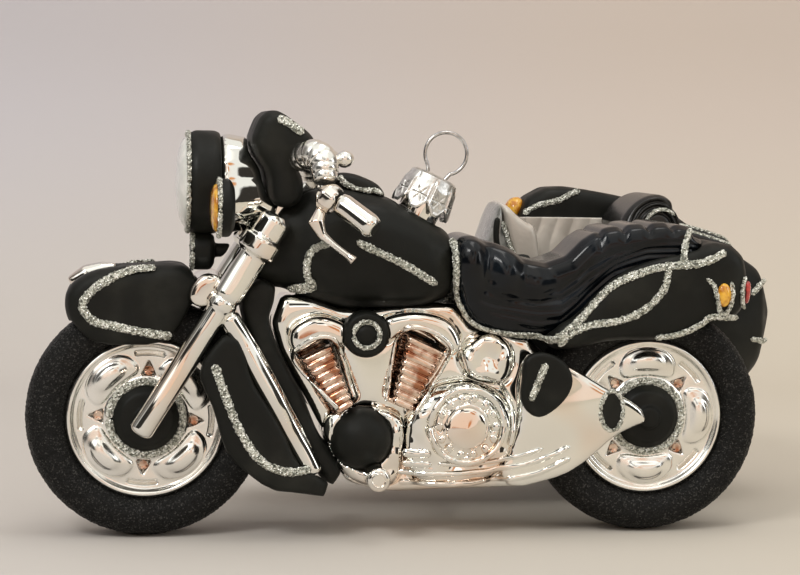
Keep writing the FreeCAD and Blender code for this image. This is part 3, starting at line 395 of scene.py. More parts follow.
def meltedCopy(name, node, look, pitch, rounds, swell, shape=None):
    joined = bmesh.new()
    joined.from_mesh(nodes[node].data)
    bmesh.ops.remove_doubles(joined, verts=joined.verts, dist=0.002 * mm)
    mesh = bpy.data.meshes.new(name)
    joined.to_mesh(mesh)
    joined.free()
    piece = linked(name, mesh)
    for kind, settings in (("REMESH", {"mode": "VOXEL", "voxel_size": pitch * mm}),
                           ("SMOOTH", {"factor": 0.5, "iterations": rounds}),
                           ("DISPLACE", {"mid_level": 0.0, "strength": swell * mm})):
        modifier = piece.modifiers.new(kind, kind)
        for key, value in settings.items():
            setattr(modifier, key, value)
    view = bpy.context.evaluated_depsgraph_get()
    finished = bpy.data.meshes.new_from_object(piece.evaluated_get(view))
    piece.modifiers.clear()
    piece.data = finished
    if shape:
        reshape(piece, shape)
    return dress(piece, look, stands=[node])


def vertexRows(mesh, key):
    values = np.empty(len(mesh.vertices) * 3, np.float32)
    mesh.vertices.foreach_get(key, values)
    return values.reshape(-1, 3)


# Moves each vertex by shape(drawing points, normals) in mm, a length along its normal or an (x, off, z) step
def reshape(piece, shape):
    spots, slopes = vertexRows(piece.data, "co"), vertexRows(piece.data, "normal")
    drawn = (spots - place([[0, 0, 0]])) / mm
    move = shape(drawn, slopes)
    spots = spots + (slopes * move[:, None] if move.ndim == 1 else move) * mm
    piece.data.vertices.foreach_set("co", spots.astype(np.float32).ravel())
    piece.data.update()


def bumpAt(distance, width):  # 1 at 0, smoothly down to 0 at width
    return np.clip(1 - (distance / width) ** 2, 0, 1) ** 2


def ramp(value, start, reach):  # 0 at start, rising to 1 over reach, upwards or, below zero, downwards
    return np.clip((value - start) / reach, 0, 1)


seatShape = {
    "lowEdge": [(-61.0, 56.5), (-57.0, 55.4), (-49.0, 54.2), (-42.4, 51.2), (-36.4, 45.6), (-31.6, 41.6),
                (-25.6, 40.9), (-19.0, 41.6), (-14.2, 43.4), (-10.4, 47.4)],
    "topEdge": [(-60.6, 61.4), (-56.4, 63.8), (-48.0, 63.8), (-41.0, 63.0), (-37.0, 61.4), (-34.6, 58.6),
                (-31.4, 56.4), (-27.4, 55.6), (-23.4, 56.8), (-19.4, 59.2), (-14.8, 60.6), (-11.2, 60.2)],
    "pleats": [(0.10, 0.55), (0.21, 0.8), (0.33, 0.6), (0.45, 0.75), (0.58, 0.45)], "pleatWidth": 0.05,
    "pleatStart": -13.0, "pillionStart": -39.2, "lumpPitch": 5.1, "lumpDepth": 1.1,
    "lobes": [(-12.8, 55.6, 5.2, 7.8, 2.0), (-20.0, 53.4, 4.6, 6.4, 1.8), (-26.4, 51.4, 4.4, 5.0, 1.0)],
    "crease": (-16.6, 56.0), "creaseLean": 0.2, "creaseFoot": 49.5, "creaseWidth": 1.4, "creaseDepth": 0.5}


# Seat: uneven pleats along the lower edge, lumps across the pillion's top, lobes and a crease at the nose
def seatPleats(drawn, slopes):
    x, z = drawn[:, 0], drawn[:, 2]
    low = np.interp(x, *np.array(seatShape["lowEdge"]).T)
    top = np.interp(x, *np.array(seatShape["topEdge"]).T)
    share = (z - low) / (top - low)
    flank = ramp(np.abs(slopes[:, 1]), 0.3, 0.4) * ramp(x, seatShape["pleatStart"], -7.0)
    relief = np.zeros(len(x))
    for level, depth in seatShape["pleats"]:
        wander = level + 0.025 * np.sin(0.3 * x + 9 * level)
        uneven = depth * (0.75 + 0.25 * np.sin(0.2 * x + 14 * level))
        relief -= uneven * flank * np.exp(-((share - wander) / seatShape["pleatWidth"]) ** 2)
    crown = ramp(share, 0.68, 0.3) * ramp(x, seatShape["pillionStart"] + 2, -3.0)
    wave = np.abs(np.sin(np.pi * (x - seatShape["pillionStart"]) / seatShape["lumpPitch"]))
    relief -= seatShape["lumpDepth"] * (1 - wave) ** 2 * crown
    for lobeX, lobeZ, long, high, rise in seatShape["lobes"]:
        relief += rise * bumpAt(np.hypot((x - lobeX) / long, (z - lobeZ) / high), 1.0)
    creaseX, creaseZ = seatShape["crease"]
    away = (x - creaseX - seatShape["creaseLean"] * (z - creaseZ)) / seatShape["creaseWidth"]
    relief -= seatShape["creaseDepth"] * np.exp(-away ** 2) * ramp(z, seatShape["creaseFoot"], 3.0)
    return relief


hoodShape = {"centre": (-61.0, 61.6), "folds": (3.2, 4.5, 5.8), "depth": 0.8, "width": 0.7}


def hoodFolds(drawn, slopes):  # grooves between the folds, round a centre at the hood's hinge
    centreX, centreZ = hoodShape["centre"]
    reach = np.hypot(drawn[:, 0] - centreX, drawn[:, 2] - centreZ)
    grooves = [bumpAt(np.abs(reach - fold), hoodShape["width"]) for fold in hoodShape["folds"]]
    return -hoodShape["depth"] * sum(grooves)


cowlShape = {"back": 0.9, "front": 23.0, "corner": 80.5}


def cowlWaist(drawn, slopes):  # the cowl's front draws back below its corner
    below = ramp(drawn[:, 2], cowlShape["corner"], -3.0)
    return np.outer(cowlShape["back"] * ramp(drawn[:, 0], cowlShape["front"], 5.0) * below, [-1.0, 0.0, 0.0])


nacelleShape = {"full": 1.7, "waist": 72.0}


def nacelleFull(drawn, slopes):  # the nacelle's lower half is fuller than its top
    below = ramp(drawn[:, 2], nacelleShape["waist"], -6.0)
    return nacelleShape["full"] * below * ramp(np.abs(slopes[:, 1]), 0.0, 0.5)


amberShape = {"middle": 49.8, "stretch": 0.6}


def amberOval(drawn, slopes):  # the amber lamps are upright ovals
    return np.outer(amberShape["stretch"] * (drawn[:, 2] - amberShape["middle"]), [0.0, 0.0, 1.0])


# Node: finish, pitch of the refill in mm, rounds of melting, swell in mm
melted = {
    "front_fender": ("matt", 0.5, 16, 0.1), "fender_tip": ("silver", 0.25, 8, 0.1),
    "fork_leg_left": ("silver", 0.28, 5, 0.2), "fork_leg_right": ("silver", 0.28, 5, 0.2),
    "fork_yoke": ("silver", 0.35, 8, 0.1), "headlight_shell": ("matt", 0.35, 8, 0.05),
    "headlight_lens": ("pearl", 0.35, 5, 0.9), "lower_lamp": ("matt", 0.3, 8, 0.1),
    "passing_lamps": ("matt", 0.35, 6, 0.05), "passing_lenses": ("amber", 0.25, 6, 0.08),
    "grips": ("silver", 0.28, 8, 0.08), "levers": ("silver", 0.16, 4, 0.05),
    "switch_housings": ("silver", 0.25, 6, 0.08), "handlebar_knobs": ("milky", 0.2, 4, 0.1),
    "tank": ("matt", 0.5, 30, 0.15), "console": ("matt", 0.3, 14, 0.15),
    "saddlebags": ("matt", 0.5, 22, 0.12), "down_tube": ("matt", 0.45, 16, 0.12),
    "leg_guards": ("matt", 0.42, 12, 0.08),
    "front_tubes": ("silver", 0.28, 6, 0.6), "engine_body": ("silver", 0.55, 15, 0.2),
    "crankcase": ("rippled", 0.4, 20, 0.2), "primary_cover": ("rippled", 0.42, 22, 0.15),
    "front_rocker_cover": ("silver", 0.32, 14, 0.18), "rear_rocker_cover": ("silver", 0.32, 14, 0.18),
    "oil_tank": ("rippled", 0.35, 14, 0.15), "swing_arms": ("silver", 0.4, 20, 0.12),
    "side_covers": ("matt", 0.3, 4, 0.05), "round_covers": ("matt", 0.25, 3, 0.05),
    "derby_covers": ("silver", 0.28, 3, 0.06), "foot_pegs": ("silver", 0.25, 5, 0.05),
    "ball_covers": ("matt", 0.4, 4, 0.05), "tail_lamp": ("red", 0.15, 5, 0.05),
    "neck": ("silver", 0.4, 2, 0.02), "front_hub": ("hub", 0.35, 6, 0.05), "rear_hub": ("hub", 0.35, 6, 0.05),
    "sidecar_hub": ("hub", 0.35, 5, 0.0),
    "sidecar_body": ("matt", 0.8, 15, 0.0), "sidecar_fender": ("matt", 0.6, 13, 0.0),
    "sidecar_rack": ("satin", 0.22, 4, 0.2), "sidecar_lamp": ("amber", 0.2, 6, 0.9),
    "sidecar_struts": ("silver", 0.3, 4, 0.05),
}
for node, (look, pitch, rounds, swell) in melted.items():
    meltedCopy(node + "_skin", node, look, pitch, rounds, swell)
meltedCopy("seat_skin", "seat", "seat", 0.28, 24, 0.1, seatPleats)
meltedCopy("hood_skin", "sidecar_hood", "satin", 0.28, 10, 0.1, hoodFolds)
meltedCopy("cowl_skin", "cowl", "matt", 0.4, 14, 0.12, cowlWaist)
meltedCopy("nacelle_skin", "headlight_nacelle", "silver", 0.4, 26, 0.15, nacelleFull)
meltedCopy("amber_skin", "amber_lamps", "amber", 0.12, 4, 0.05, amberOval)
print("melted pieces made")


# Wheels

tyreShape = {"inner": 15.6, "half": 6.4, "sidecarHalf": 4.5, "wrap": 0.93, "grain": 0.22, "along": 430,
             "across": 46}
discShape = {"inner": 6.4, "outer": 16.3, "half": 3.4, "edge": 0.5, "lip": 15.3, "lipRise": 0.9, "boss": 7.4,
             "bossRise": 0.5, "ringWidth": 1.2, "ovalReach": 11.3, "ovalLong": 6.2, "ovalWide": 3.0,
             "ovalRise": 1.1, "padRise": 0.45, "grooveDepth": 0.26, "slitReach": 13.1, "slitAngle": 0.22,
             "slitDepth": 1.5, "dimpleReach": 9.8, "dimpleHalf": 1.0, "dimpleFrom": 8.5, "dimpleTo": 11.6,
             "dimpleDepth": 1.3}


# Points at a reach from the axle, a place along it and a turn round it
def aroundAxle(reach, side, turn, axle):
    rows = np.stack([reach * np.cos(turn), side, reach * np.sin(turn)], -1)
    return (rows * mm + np.array(axle)).reshape(-1, 3)


# Tyre: its section is turned round the axle, and every point is pushed in at random as a grain
def sandTyre(name, node, axle, halfWidth):
    inner, outer = tyreShape["inner"], wheelRadius / mm
    turn = np.linspace(0, 2 * np.pi, tyreShape["along"], endpoint=False)
    lean = np.linspace(-tyreShape["wrap"] * np.pi, tyreShape["wrap"] * np.pi, tyreShape["across"])
    sine, cosine = np.sin(lean), np.cos(lean)
    grain = -tyreShape["grain"] * grains.random((len(turn), len(lean)))
    side = halfWidth * np.sign(sine) * np.abs(sine) ** 0.8 + grain * sine
    reach = (inner + outer) / 2 + (outer - inner) / 2 * np.sign(cosine) * np.abs(cosine) ** 0.75
    reach = reach + grain * cosine
    faces = gridFaces(len(turn), len(lean), True, True)[:, ::-1]
    return addPiece(name, aroundAxle(reach, side, turn[:, None], axle), faces, "tyre", stands=[node])


def turnFrom(turn, degrees):  # how far a turn lies from an angle, between -pi and pi
    return (turn - math.radians(degrees) + np.pi) % (2 * np.pi) - np.pi


# Relief of a disc in mm: lip and boss rings, four long ovals with a raised middle, and in each gap between
# them a tapered dimple near the hub and a slit near the rim
def discRelief(reach, turn, firstOval):
    disc = discShape
    relief = disc["lipRise"] * bumpAt(np.abs(reach - disc["lip"]), disc["ringWidth"])
    relief += disc["bossRise"] * bumpAt(np.abs(reach - disc["boss"]), disc["ringWidth"])
    for angle in range(firstOval, firstOval + 360, 90):
        along = np.abs(turnFrom(turn, angle) * reach / disc["ovalLong"])
        oval = (along ** 2.4 + np.abs((reach - disc["ovalReach"]) / disc["ovalWide"]) ** 2.4) ** (1 / 2.4)
        relief += disc["ovalRise"] * np.clip(1 - oval ** 4, 0, 1) ** 0.8
        relief -= disc["grooveDepth"] * bumpAt(np.abs(oval - 0.68), 0.3)
        relief += disc["padRise"] * np.clip(1 - (oval / 0.62) ** 2, 0, 1)
        away = np.abs(turnFrom(turn, angle + 45))
        slit = bumpAt(np.abs(reach - disc["slitReach"]), 0.55) * (away < disc["slitAngle"])
        half = disc["dimpleHalf"] + 0.5 * (disc["dimpleReach"] - reach)
        dimple = ramp(away * reach, half, -0.5) * ramp(reach, disc["dimpleFrom"], 0.4)
        relief -= disc["slitDepth"] * slit + disc["dimpleDepth"] * dimple * (reach < disc["dimpleTo"])
    return relief


# Disc: the section runs out over one face and back over the other, and is turned round the axle
def glassDisc(name, node, axle, scale, firstOval):
    inner, outer, soft = discShape["inner"], discShape["outer"], discShape["edge"]
    turn = np.linspace(0, 2 * np.pi, 280, endpoint=False)
    face = np.linspace(inner, outer, 48)
    sign = np.repeat([1.0, -1.0], len(face))
    reach, spin = np.meshgrid(np.concatenate([face, face[::-1]]), turn)
    edge = soft * np.clip(np.minimum(reach - inner, outer - reach) / soft, 0, 1) ** 0.5
    side = (discShape["half"] * scale + edge + discRelief(reach, spin, firstOval)) * sign
    faces = gridFaces(len(turn), 2 * len(face), True, True)
    return addPiece(name, aroundAxle(reach, side, spin, axle), faces, "milky", stands=[node])


for wheel, axle, tyreHalf, scale, firstOval in (("front", frontAxle, tyreShape["half"], 1.0, 48),
                                                ("rear", rearAxle, tyreShape["half"], 1.0, 0),
                                                ("sidecar", sideAxle, tyreShape["sidecarHalf"], 0.78, 0)):
    sandTyre(wheel + "_tyre_sand", wheel + "_tyre", axle, tyreHalf)
    glassDisc(wheel + "_disc_glass", wheel + "_wheel_disc", axle, scale, firstOval)
print("wheels made")


# Handlebar arches with ribs, as a swept tube

barShape = {"path": [(22.6, 9.0, 75.4), (20.8, 11.8, 76.6), (19.0, 13.6, 76.9), (17.5, 15.0, 75.6),
                     (17.3, 16.2, 73.2), (17.2, 17.0, 71.6)],
            "radii": [2.0, 2.6, 3.0, 3.1, 2.8, 2.2], "ribs": 8, "ribDepth": 0.16}


def ribbedBars():
    path = smoothPath(barShape["path"], 0.12)
    share = np.linspace(0, 1, len(path))
    radius = np.interp(share, np.linspace(0, 1, len(barShape["radii"])), barShape["radii"])
    radius -= barShape["ribDepth"] * (1 - np.abs(np.sin(np.pi * barShape["ribs"] * share)) ** 0.6)
    radius *= roundedEnds(len(path), 0.04)
    arch = tubeAlong(path, radius, 28)
    return patchPiece("handlebar_ribs", mirrored([arch]), "milky", stands=["handlebar"])


ribbedBars()


# Cockpit liner: an upright pleated sheet, front and back, that bows away from the motorcycle
linerShape = {"front": -31.5, "back": -54.0, "low": 50.0, "high": 62.6, "off": -47.6, "bow": 1.6,
              "thick": 1.2, "pleats": 6, "pleatDepth": 0.3}


def cockpitLiner():
    liner = linerShape
    along = np.linspace(0, 1, 160)
    up = np.linspace(0, 1, 40)
    share, rise = np.meshgrid(along, np.concatenate([up, up[::-1]]), indexing="ij")
    lean = np.pi * liner["pleats"] * (share + 0.05 * np.sin(4 * rise))
    off = liner["off"] - liner["bow"] * np.sin(np.pi * share) + liner["pleatDepth"] * np.abs(np.sin(lean))
    off[:, len(up):] -= liner["thick"]
    x = liner["front"] + (liner["back"] - liner["front"]) * share
    z = liner["low"] + (liner["high"] - liner["low"]) * rise
    return patchPiece("cockpit_liner", [np.stack([x, off, z], -1)[:, ::-1]], "liner")


# Dishes: flat ovals, domed inwards, that face sideways, as (x, off, z), half size along x and half size up
def dishes(name, spots, depth, look):
    turn = np.linspace(2 * np.pi, 0, 48, endpoint=False)
    run = np.linspace(0.02, 1, 10)
    share = np.concatenate([run, run[::-1]])[:, None]
    sunk = np.concatenate([depth * (1 - run ** 2), np.full(len(run), depth + 0.3)])[:, None]
    patches = [np.stack([x + halfX * share * np.cos(turn), off - sunk + 0 * turn,
                         z + halfZ * share * np.sin(turn)], -1) for (x, off, z), halfX, halfZ in spots]
    return patchPiece(name, mirrored(patches), look)


screenShape = {"off": -36.5, "half": 9.3,
               "pewter": [(-21.9, 52.9), (-22.3, 56.3), (-23.6, 60.7), (-25.0, 64.6), (-26.2, 66.4),
                          (-26.6, 63.0), (-27.6, 58.9), (-29.0, 54.8), (-29.8, 51.6)],
               "liner": [(-26.2, 66.4), (-27.8, 66.0), (-29.8, 64.2), (-32.1, 62.6), (-34.1, 61.3),
                         (-35.1, 57.2), (-35.2, 52.2), (-29.8, 51.6), (-29.0, 54.8), (-27.6, 58.9),
                         (-26.6, 63.0)]}


# Cushion: an outline in the side view, crowned across towards both faces
def cushion(name, outline, look, stands=()):
    ring = smoothPath(outline, 0.4, closed=True)
    lean = np.linspace(-np.pi / 2, np.pi / 2, 30)
    share = np.maximum(np.cos(lean), 0) ** 0.3 * 0.98 + 0.02
    off = screenShape["off"] + screenShape["half"] * np.sign(np.sin(lean)) * np.abs(np.sin(lean)) ** 0.6
    centre = ring.mean(axis=0)
    flat = centre + (ring - centre) * share[:, None, None]
    rings = np.stack([flat[..., 0], np.broadcast_to(off[:, None], flat.shape[:2]), flat[..., 1]], -1)
    return patchPiece(name, [rings], look, stands=stands)


finShape = {"ribs": 9, "depth": 0.5, "off": 8.0, "half": 2.5, "square": 0.42,
            "front_cylinder": [(21.2, 36.4), (14.9, 39.5), (10.1, 27.1), (13.3, 25.2)],
            "rear_cylinder": [(-0.5, 41.4), (-8.2, 37.8), (-1.6, 25.7), (2.7, 27.5)]}


# Finned block: a squarish section drawn down between four corners, which start at the top left and go round
# clockwise, and swelling at each fin
def finnedBlock(node):
    topLeft, topRight, lowRight, lowLeft = (np.array(corner) for corner in finShape[node])
    down = np.linspace(0, 1, 150)
    left = topLeft + (lowLeft - topLeft) * down[:, None]
    right = topRight + (lowRight - topRight) * down[:, None]
    turn = np.linspace(0, 2 * np.pi, 56, endpoint=False)
    across = np.sign(np.cos(turn)) * np.abs(np.cos(turn)) ** finShape["square"]
    out = np.sign(np.sin(turn)) * np.abs(np.sin(turn)) ** finShape["square"]
    fin = finShape["depth"] * (np.abs(np.sin(np.pi * finShape["ribs"] * down)) ** 0.6 - 1)
    ends = roundedEnds(len(down), 0.03)
    half = (left - right) / 2 * ((1 + 2 * fin / np.linalg.norm(right - left, axis=1)) * ends)[:, None]
    flat = ((left + right) / 2)[:, None, :] + across[None, :, None] * half[:, None, :]
    off = finShape["off"] + (finShape["half"] + fin)[:, None] * ends[:, None] * out
    rings = np.stack([flat[..., 0], off, flat[..., 1]], -1)
    # The fins are coloured with painted copper reflection
    return patchPiece(node + "_fins", mirrored([rings]), "copper", stands=[node])


pocketShape = {"x": 51.2, "z": 24.0, "reach": 9.5, "off": 3.9, "half": 0.9, "frontTurn": 93, "rearTurn": 45}


def discPockets():  # pockets at the dimples of the two discs, coloured with painted copper reflection
    pocket, spots = pocketShape, []
    for hubX, first in ((pocket["x"], pocket["frontTurn"]), (-pocket["x"], pocket["rearTurn"])):
        for angle in np.radians(range(first, first + 360, 90)):
            x = hubX + pocket["reach"] * math.cos(angle)
            z = pocket["z"] + pocket["reach"] * math.sin(angle)
            spots.append(((x, pocket["off"], z), pocket["half"], pocket["half"]))
    return dishes("disc_pockets", spots, 0.2, "copper")


finnedBlock("front_cylinder")
finnedBlock("rear_cylinder")
cockpitLiner()
cushion("windscreen_pewter", screenShape["pewter"], "pewter", stands=["sidecar_windscreen"])
cushion("windscreen_liner", screenShape["liner"], "liner")
dishes("arm_recess", [((-42.3, 10.75, 26.0), 2.0, 3.7)], 0.3, "hub")
discPockets()
print("fins, liner and recesses made")


# Crown cap and wire hanger on the neck's axis

turnJoint = next(joint for joint in frame["joints"] if joint["name"] == "cap_turn")
neckAxis = np.array(turnJoint["axis"], float)
neckAxis /= np.linalg.norm(neckAxis)
neckBase = np.array(turnJoint["pos_m"], float)
neckAcross = np.array([neckAxis[2], 0.0, -neckAxis[0]])
neckSide = np.array([0.0, 1.0, 0.0])


# Points given as (across, side, up) rows in mm about the neck's axis
def onNeck(points):
    points = np.asarray(points, float) * mm
    across, side, up = points[..., 0:1], points[..., 1:2], points[..., 2:3]
    return neckBase + across * neckAcross + side * neckSide + up * neckAxis


capShape = {"petals": 8, "low": 2.35, "top": 10.25, "radius": 4.9, "flare": 0.75, "wall": 0.3, "bulge": 0.55,
            "scallop": 2.1, "star": 0.34, "starUp": 3.1, "starReach": 1.75, "rays": 3, "tipReach": 1.15,
            "border": 0.16, "borderFrom": 0.25, "shoulder": 0.5, "dome": 0.12, "inset": 0.1, "sunk": 0.02,
            "across": 360, "crownRows": 12, "skirtRows": 60}


# Star in mm of depth: rays from the middle of a petal, each with a pair of barbs near its tip
def capStar(across, up):
    reach = np.hypot(across, up)
    spread = np.abs(np.sin(np.arctan2(up, across) * capShape["rays"]))
    rays = np.clip(1.3 - spread * reach / 0.3, 0, 1) * ramp(reach, capShape["starReach"], -0.3)
    barbs = ramp(np.abs(reach - capShape["tipReach"]), 0.2, -0.2) * (spread < 0.35)
    return capShape["star"] * np.maximum(rays, barbs)


# Cap: the section runs from the top's middle over the shoulder and down the skirt, then back inside.
# The skirt's radius swells in each petal, its hem is cut in arcs, and a star is pressed into each petal.
def crownCap():
    cap = capShape
    turn = np.linspace(0, 2 * np.pi, cap["across"], endpoint=False)
    local = ((turn * cap["petals"] / (2 * np.pi)) % 1.0) - 0.5
    swell = 1 - np.abs(2 * local) ** 6
    hem = cap["low"] + cap["scallop"] * (1 - np.clip(1.3 - 2.6 * np.abs(local), 0, 1))
    start = cap["top"] - cap["shoulder"]
    rows = []
    for share in np.linspace(0.02, 1.0, cap["crownRows"]):
        dome = cap["dome"] * (1 - share ** 2) + cap["shoulder"] * (np.sqrt(1 - share ** 8) - 1)
        radius, height = (cap["radius"] - cap["inset"]) * share, cap["top"] - cap["sunk"] + dome
        rows.append((np.full(len(turn), radius), np.full(len(turn), height)))
    for share in np.linspace(0, 1, cap["skirtRows"]):
        height = start + (hem - start) * share
        radius = cap["radius"] + cap["flare"] * share ** 1.5 + cap["bulge"] * swell * min(share * 3, 1.0)
        across = local * 2 * np.pi * radius / cap["petals"]
        star = capStar(across, height - cap["low"] - cap["starUp"])
        border = bumpAt(np.abs(np.abs(local) - 0.4), 0.06) + bumpAt(np.abs(height - hem - 0.5), 0.35)
        border = cap["border"] * np.clip(border, 0, 1) * (share > cap["borderFrom"])
        rows.append((radius - star + border, height))
    skirt, crown = rows[::-1][:cap["skirtRows"]], rows[::-1][cap["skirtRows"]:]
    rows += [(radius - cap["wall"], height) for radius, height in skirt]
    rows += [(radius * 0.93, height - cap["wall"]) for radius, height in crown]
    radius, height = (np.array(column) for column in zip(*rows))
    spots = np.stack([radius * np.cos(turn), radius * np.sin(turn), height], -1)
    faces = gridFaces(len(rows), len(turn), True, True)
    return addPiece("cap_stamped", onNeck(spots).reshape(-1, 3), faces, "cap", body="cap", stands=["cap"])


hangerShape = {"wire": 0.38, "spread": 1.9, "ring": 4.3, "height": 4.9, "leg": 15.0, "top": 10.3, "foot": 0.4,
               "knee": 0.7, "join": 0.12, "sides": 12}


# Hanger: one wire up a leg, round the loop and down the other leg, as (across, side, up)
def wireHanger():
    shape, spread, ring = hangerShape, hangerShape["spread"], hangerShape["ring"]
    gap = math.asin(spread / ring)
    centre = shape["top"] + shape["height"]
    knee = centre - ring * math.cos(gap) - shape["knee"]
    low = shape["top"] - shape["leg"] + shape["foot"]
    legUp = np.stack([np.full(40, -spread), np.zeros(40), np.linspace(low, knee, 40)], -1)
    legDown = legUp[::-1] * [-1, 1, 1]
    mouth = gap + shape["join"]
    swing = np.linspace(-np.pi / 2 - mouth, -np.pi / 2 + mouth - 2 * np.pi, 150)
    loop = np.stack([ring * np.cos(swing), 0 * swing, centre + ring * np.sin(swing)], -1)
    path = smoothPath(np.vstack([legUp[::4], loop[2:-2:3], legDown[::4]]), 0.16)
    rings = tubeAlong(path, shape["wire"] * roundedEnds(len(path), 0.006), shape["sides"])
    faces = gridFaces(len(path), shape["sides"], False, True)
    return addPiece("hanger_wire", onNeck(rings).reshape(-1, 3), faces, "wire", body="hanger",
                    stands=["hanger"])


crownCap()
wireHanger()
print("cap and hanger made")


# Beads, stripe, corner lamps and glitter lines, each laid on the outermost surface of the glass

def outerSurface():
    vertices, faces, start = [], [], 0
    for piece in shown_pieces():
        if piece.get("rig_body") != "glass" or "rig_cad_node" in piece:
            continue
        mesh = piece.data
        vertices.append(vertexRows(mesh, "co"))
        corners = np.empty(len(mesh.loops), np.int32)
        mesh.loops.foreach_get("vertex_index", corners)
        first = np.empty(len(mesh.polygons), np.int32)
        mesh.polygons.foreach_get("loop_start", first)
        faces += [run.tolist() for run in np.split(corners + start, first[1:])]
        start += len(mesh.vertices)
    return BVHTree.FromPolygons(np.vstack(vertices).tolist(), faces)


glitterShape = {"step": 0.3, "sides": 12, "rise": 0.42, "rough": 0.2}
beadShape = {"rise": 0.5, "rough": 0.0}


def soften(values, reach):  # running mean, with the ends held
    padded = np.concatenate([np.full(reach, values[0]), values, np.full(reach, values[-1])])
    return np.convolve(padded, np.full(2 * reach + 1, 1 / (2 * reach + 1)), mode="valid")


# Band: an ellipse across the path, half sunk, with every corner of a glitter line pushed about at random
def band(path, slopes, width, shape=glitterShape):
    along = np.gradient(path, axis=0)
    along /= np.linalg.norm(along, axis=1)[:, None]
    across = np.cross(along, slopes)
    across /= np.linalg.norm(across, axis=1)[:, None]
    turn = np.linspace(0, 2 * np.pi, glitterShape["sides"], endpoint=False)
    taper = roundedEnds(len(path), min(0.5, 0.9 / max(len(path) * glitterShape["step"], 1)))
    half = width / 2 * (1 + 1.5 * shape["rough"] * (grains.random(len(path)) - 0.5)) * taper
    rings = (path[:, None, :] + across[:, None, :] * (half[:, None] * np.cos(turn))[..., None]
             + slopes[:, None, :] * (shape["rise"] * taper[:, None] * np.sin(turn))[..., None])
    return rings + shape["rough"] * (grains.random(rings.shape) - 0.5)


# Lines in the side view as (x, z), then the width
bikeLines = [
    ([(49.5, 54.4), (54.6, 53.8), (59.4, 51.6), (62.7, 48.9), (63.6, 46.3), (61.5, 43.8), (57.4, 42.8),
      (51.6, 41.6), (46.3, 40.8)], 1.7),
    ([(16.4, 60.0), (18.3, 59.0), (19.9, 56.6), (19.8, 52.6), (18.2, 51.3)], 1.5),
    ([(18.0, 51.2), (20.4, 50.4), (23.4, 49.9)], 2.4),
    ([(10.4, 60.0), (5.6, 57.7), (0.6, 55.4), (-6.1, 51.4)], 1.5),
    ([(-9.6, 60.6), (-9.7, 56.2), (-10.2, 50.1), (-11.7, 46.1), (-14.4, 43.1), (-19.6, 41.6), (-26.8, 41.0),
      (-29.8, 40.6), (-35.0, 44.9), (-41.1, 51.3), (-48.3, 54.6), (-53.5, 55.6), (-58.8, 56.1), (-61.9, 57.1),
      (-64.6, 58.6)], 1.6),
    ([(-30.6, 39.3), (-32.9, 41.8), (-37.0, 43.6), (-43.1, 44.6), (-47.2, 46.3), (-50.2, 48.7), (-52.2, 51.7),
      (-52.8, 55.4)], 1.5),
    ([(-50.5, 40.9), (-55.6, 41.8), (-59.8, 43.7), (-62.2, 45.3), (-68.2, 45.0)], 1.4),
    ([(-55.8, 55.8), (-56.2, 58.0), (-57.2, 61.0), (-58.2, 63.2)], 1.4),
    ([(38.2, 35.8), (35.8, 29.2), (32.8, 22.2), (28.8, 16.6), (23.8, 14.4), (18.8, 14.8)], 1.7),
    ([(-28.0, 36.0), (-26.4, 32.0), (-25.0, 28.4)], 1.5),
    ([(26.2, 84.0), (24.6, 83.4), (23.0, 82.4), (21.0, 81.0)], 1.8),
    ([(13.3, 72.7), (12.1, 71.3), (10.1, 70.3), (7.9, 69.9), (5.8, 69.8), (4.4, 69.0)], 1.2),
    ([(-60.6, 53.1), (-62.1, 51.9), (-62.6, 50.3), (-63.1, 48.3), (-63.6, 46.7), (-64.5, 45.9), (-65.5, 46.8),
      (-66.0, 48.7), (-66.1, 50.7), (-65.8, 52.5)], 0.9),
]


# Lines on the sidecar's inner flank, as (x, z), then the off from which they are laid, then the width
sidecarLines = [
    ([(-35.4, 63.3), (-38.9, 65.2), (-43.9, 66.5), (-46.9, 68.1), (-49.0, 68.8)], -40.0, 1.3),
    ([(-26.3, 62.5), (-27.2, 59.7), (-28.4, 56.5), (-29.8, 53.5)], -20.0, 1.1),
    ([(-58.2, 62.9), (-59.1, 64.2), (-60.4, 65.2), (-62.0, 65.5), (-63.6, 65.1), (-64.8, 64.2)], -20.0, 0.9),
    ([(-83.5, 46.6), (-85.1, 48.0), (-86.5, 49.0), (-87.9, 49.7)], -20.0, 1.3),
    ([(-83.5, 36.6), (-85.5, 36.3), (-86.9, 35.9), (-88.3, 36.3)], -20.0, 1.3),
]
rackLines = {"offs": [-43.1, -38.7, -34.3, -29.9], "front": -67.6, "back": -82.0, "from": 90.0, "width": 0.9}


probes = np.array([(0, 0, 0), (0.7, 0, 0), (-0.7, 0, 0), (0, 0, 0.7), (0, 0, -0.7)])


# The starts of a line's rays, rows of (x, off, z), move along the rays to the outermost surface near them
def lineOnSurface(surface, starts, toward, width, shape=glitterShape):
    spots, slopes = [], []
    depth = 1 if toward[1] else 2
    for start in starts:
        rays = [surface.ray_cast(Vector(place(start + probe)), Vector(toward)) for probe in probes]
        rays = [ray for ray in rays if ray[0] is not None]
        if rays:
            outer = min(rays, key=lambda ray: ray[3])
            spot = np.array(start, float)
            spot[depth] = ((np.array(outer[0]) - place([0, 0, 0])) / mm)[depth]
            spots.append(spot)
            slopes.append(np.array(outer[1]))
    spots, slopes = np.array(spots), np.array(slopes)
    spots[:, depth] = soften(spots[:, depth], 5)
    slopes = np.stack([soften(slopes[:, k], 5) for k in range(3)], -1)
    slopes /= np.linalg.norm(slopes, axis=1)[:, None]
    return band(spots, slopes, width, shape)


castFrom = {1: 60.0, -1: 15.5}  # off of the rays' starts: on the right they start between it and the sidecar


def lineOnFlank(surface, line, width, side, off=None, shape=glitterShape):
    off = castFrom[side] if off is None else off
    flat = smoothPath(line, glitterShape["step"])
    return lineOnSurface(surface, np.insert(flat, 1, side * off, axis=1), (0, -side, 0), width, shape)


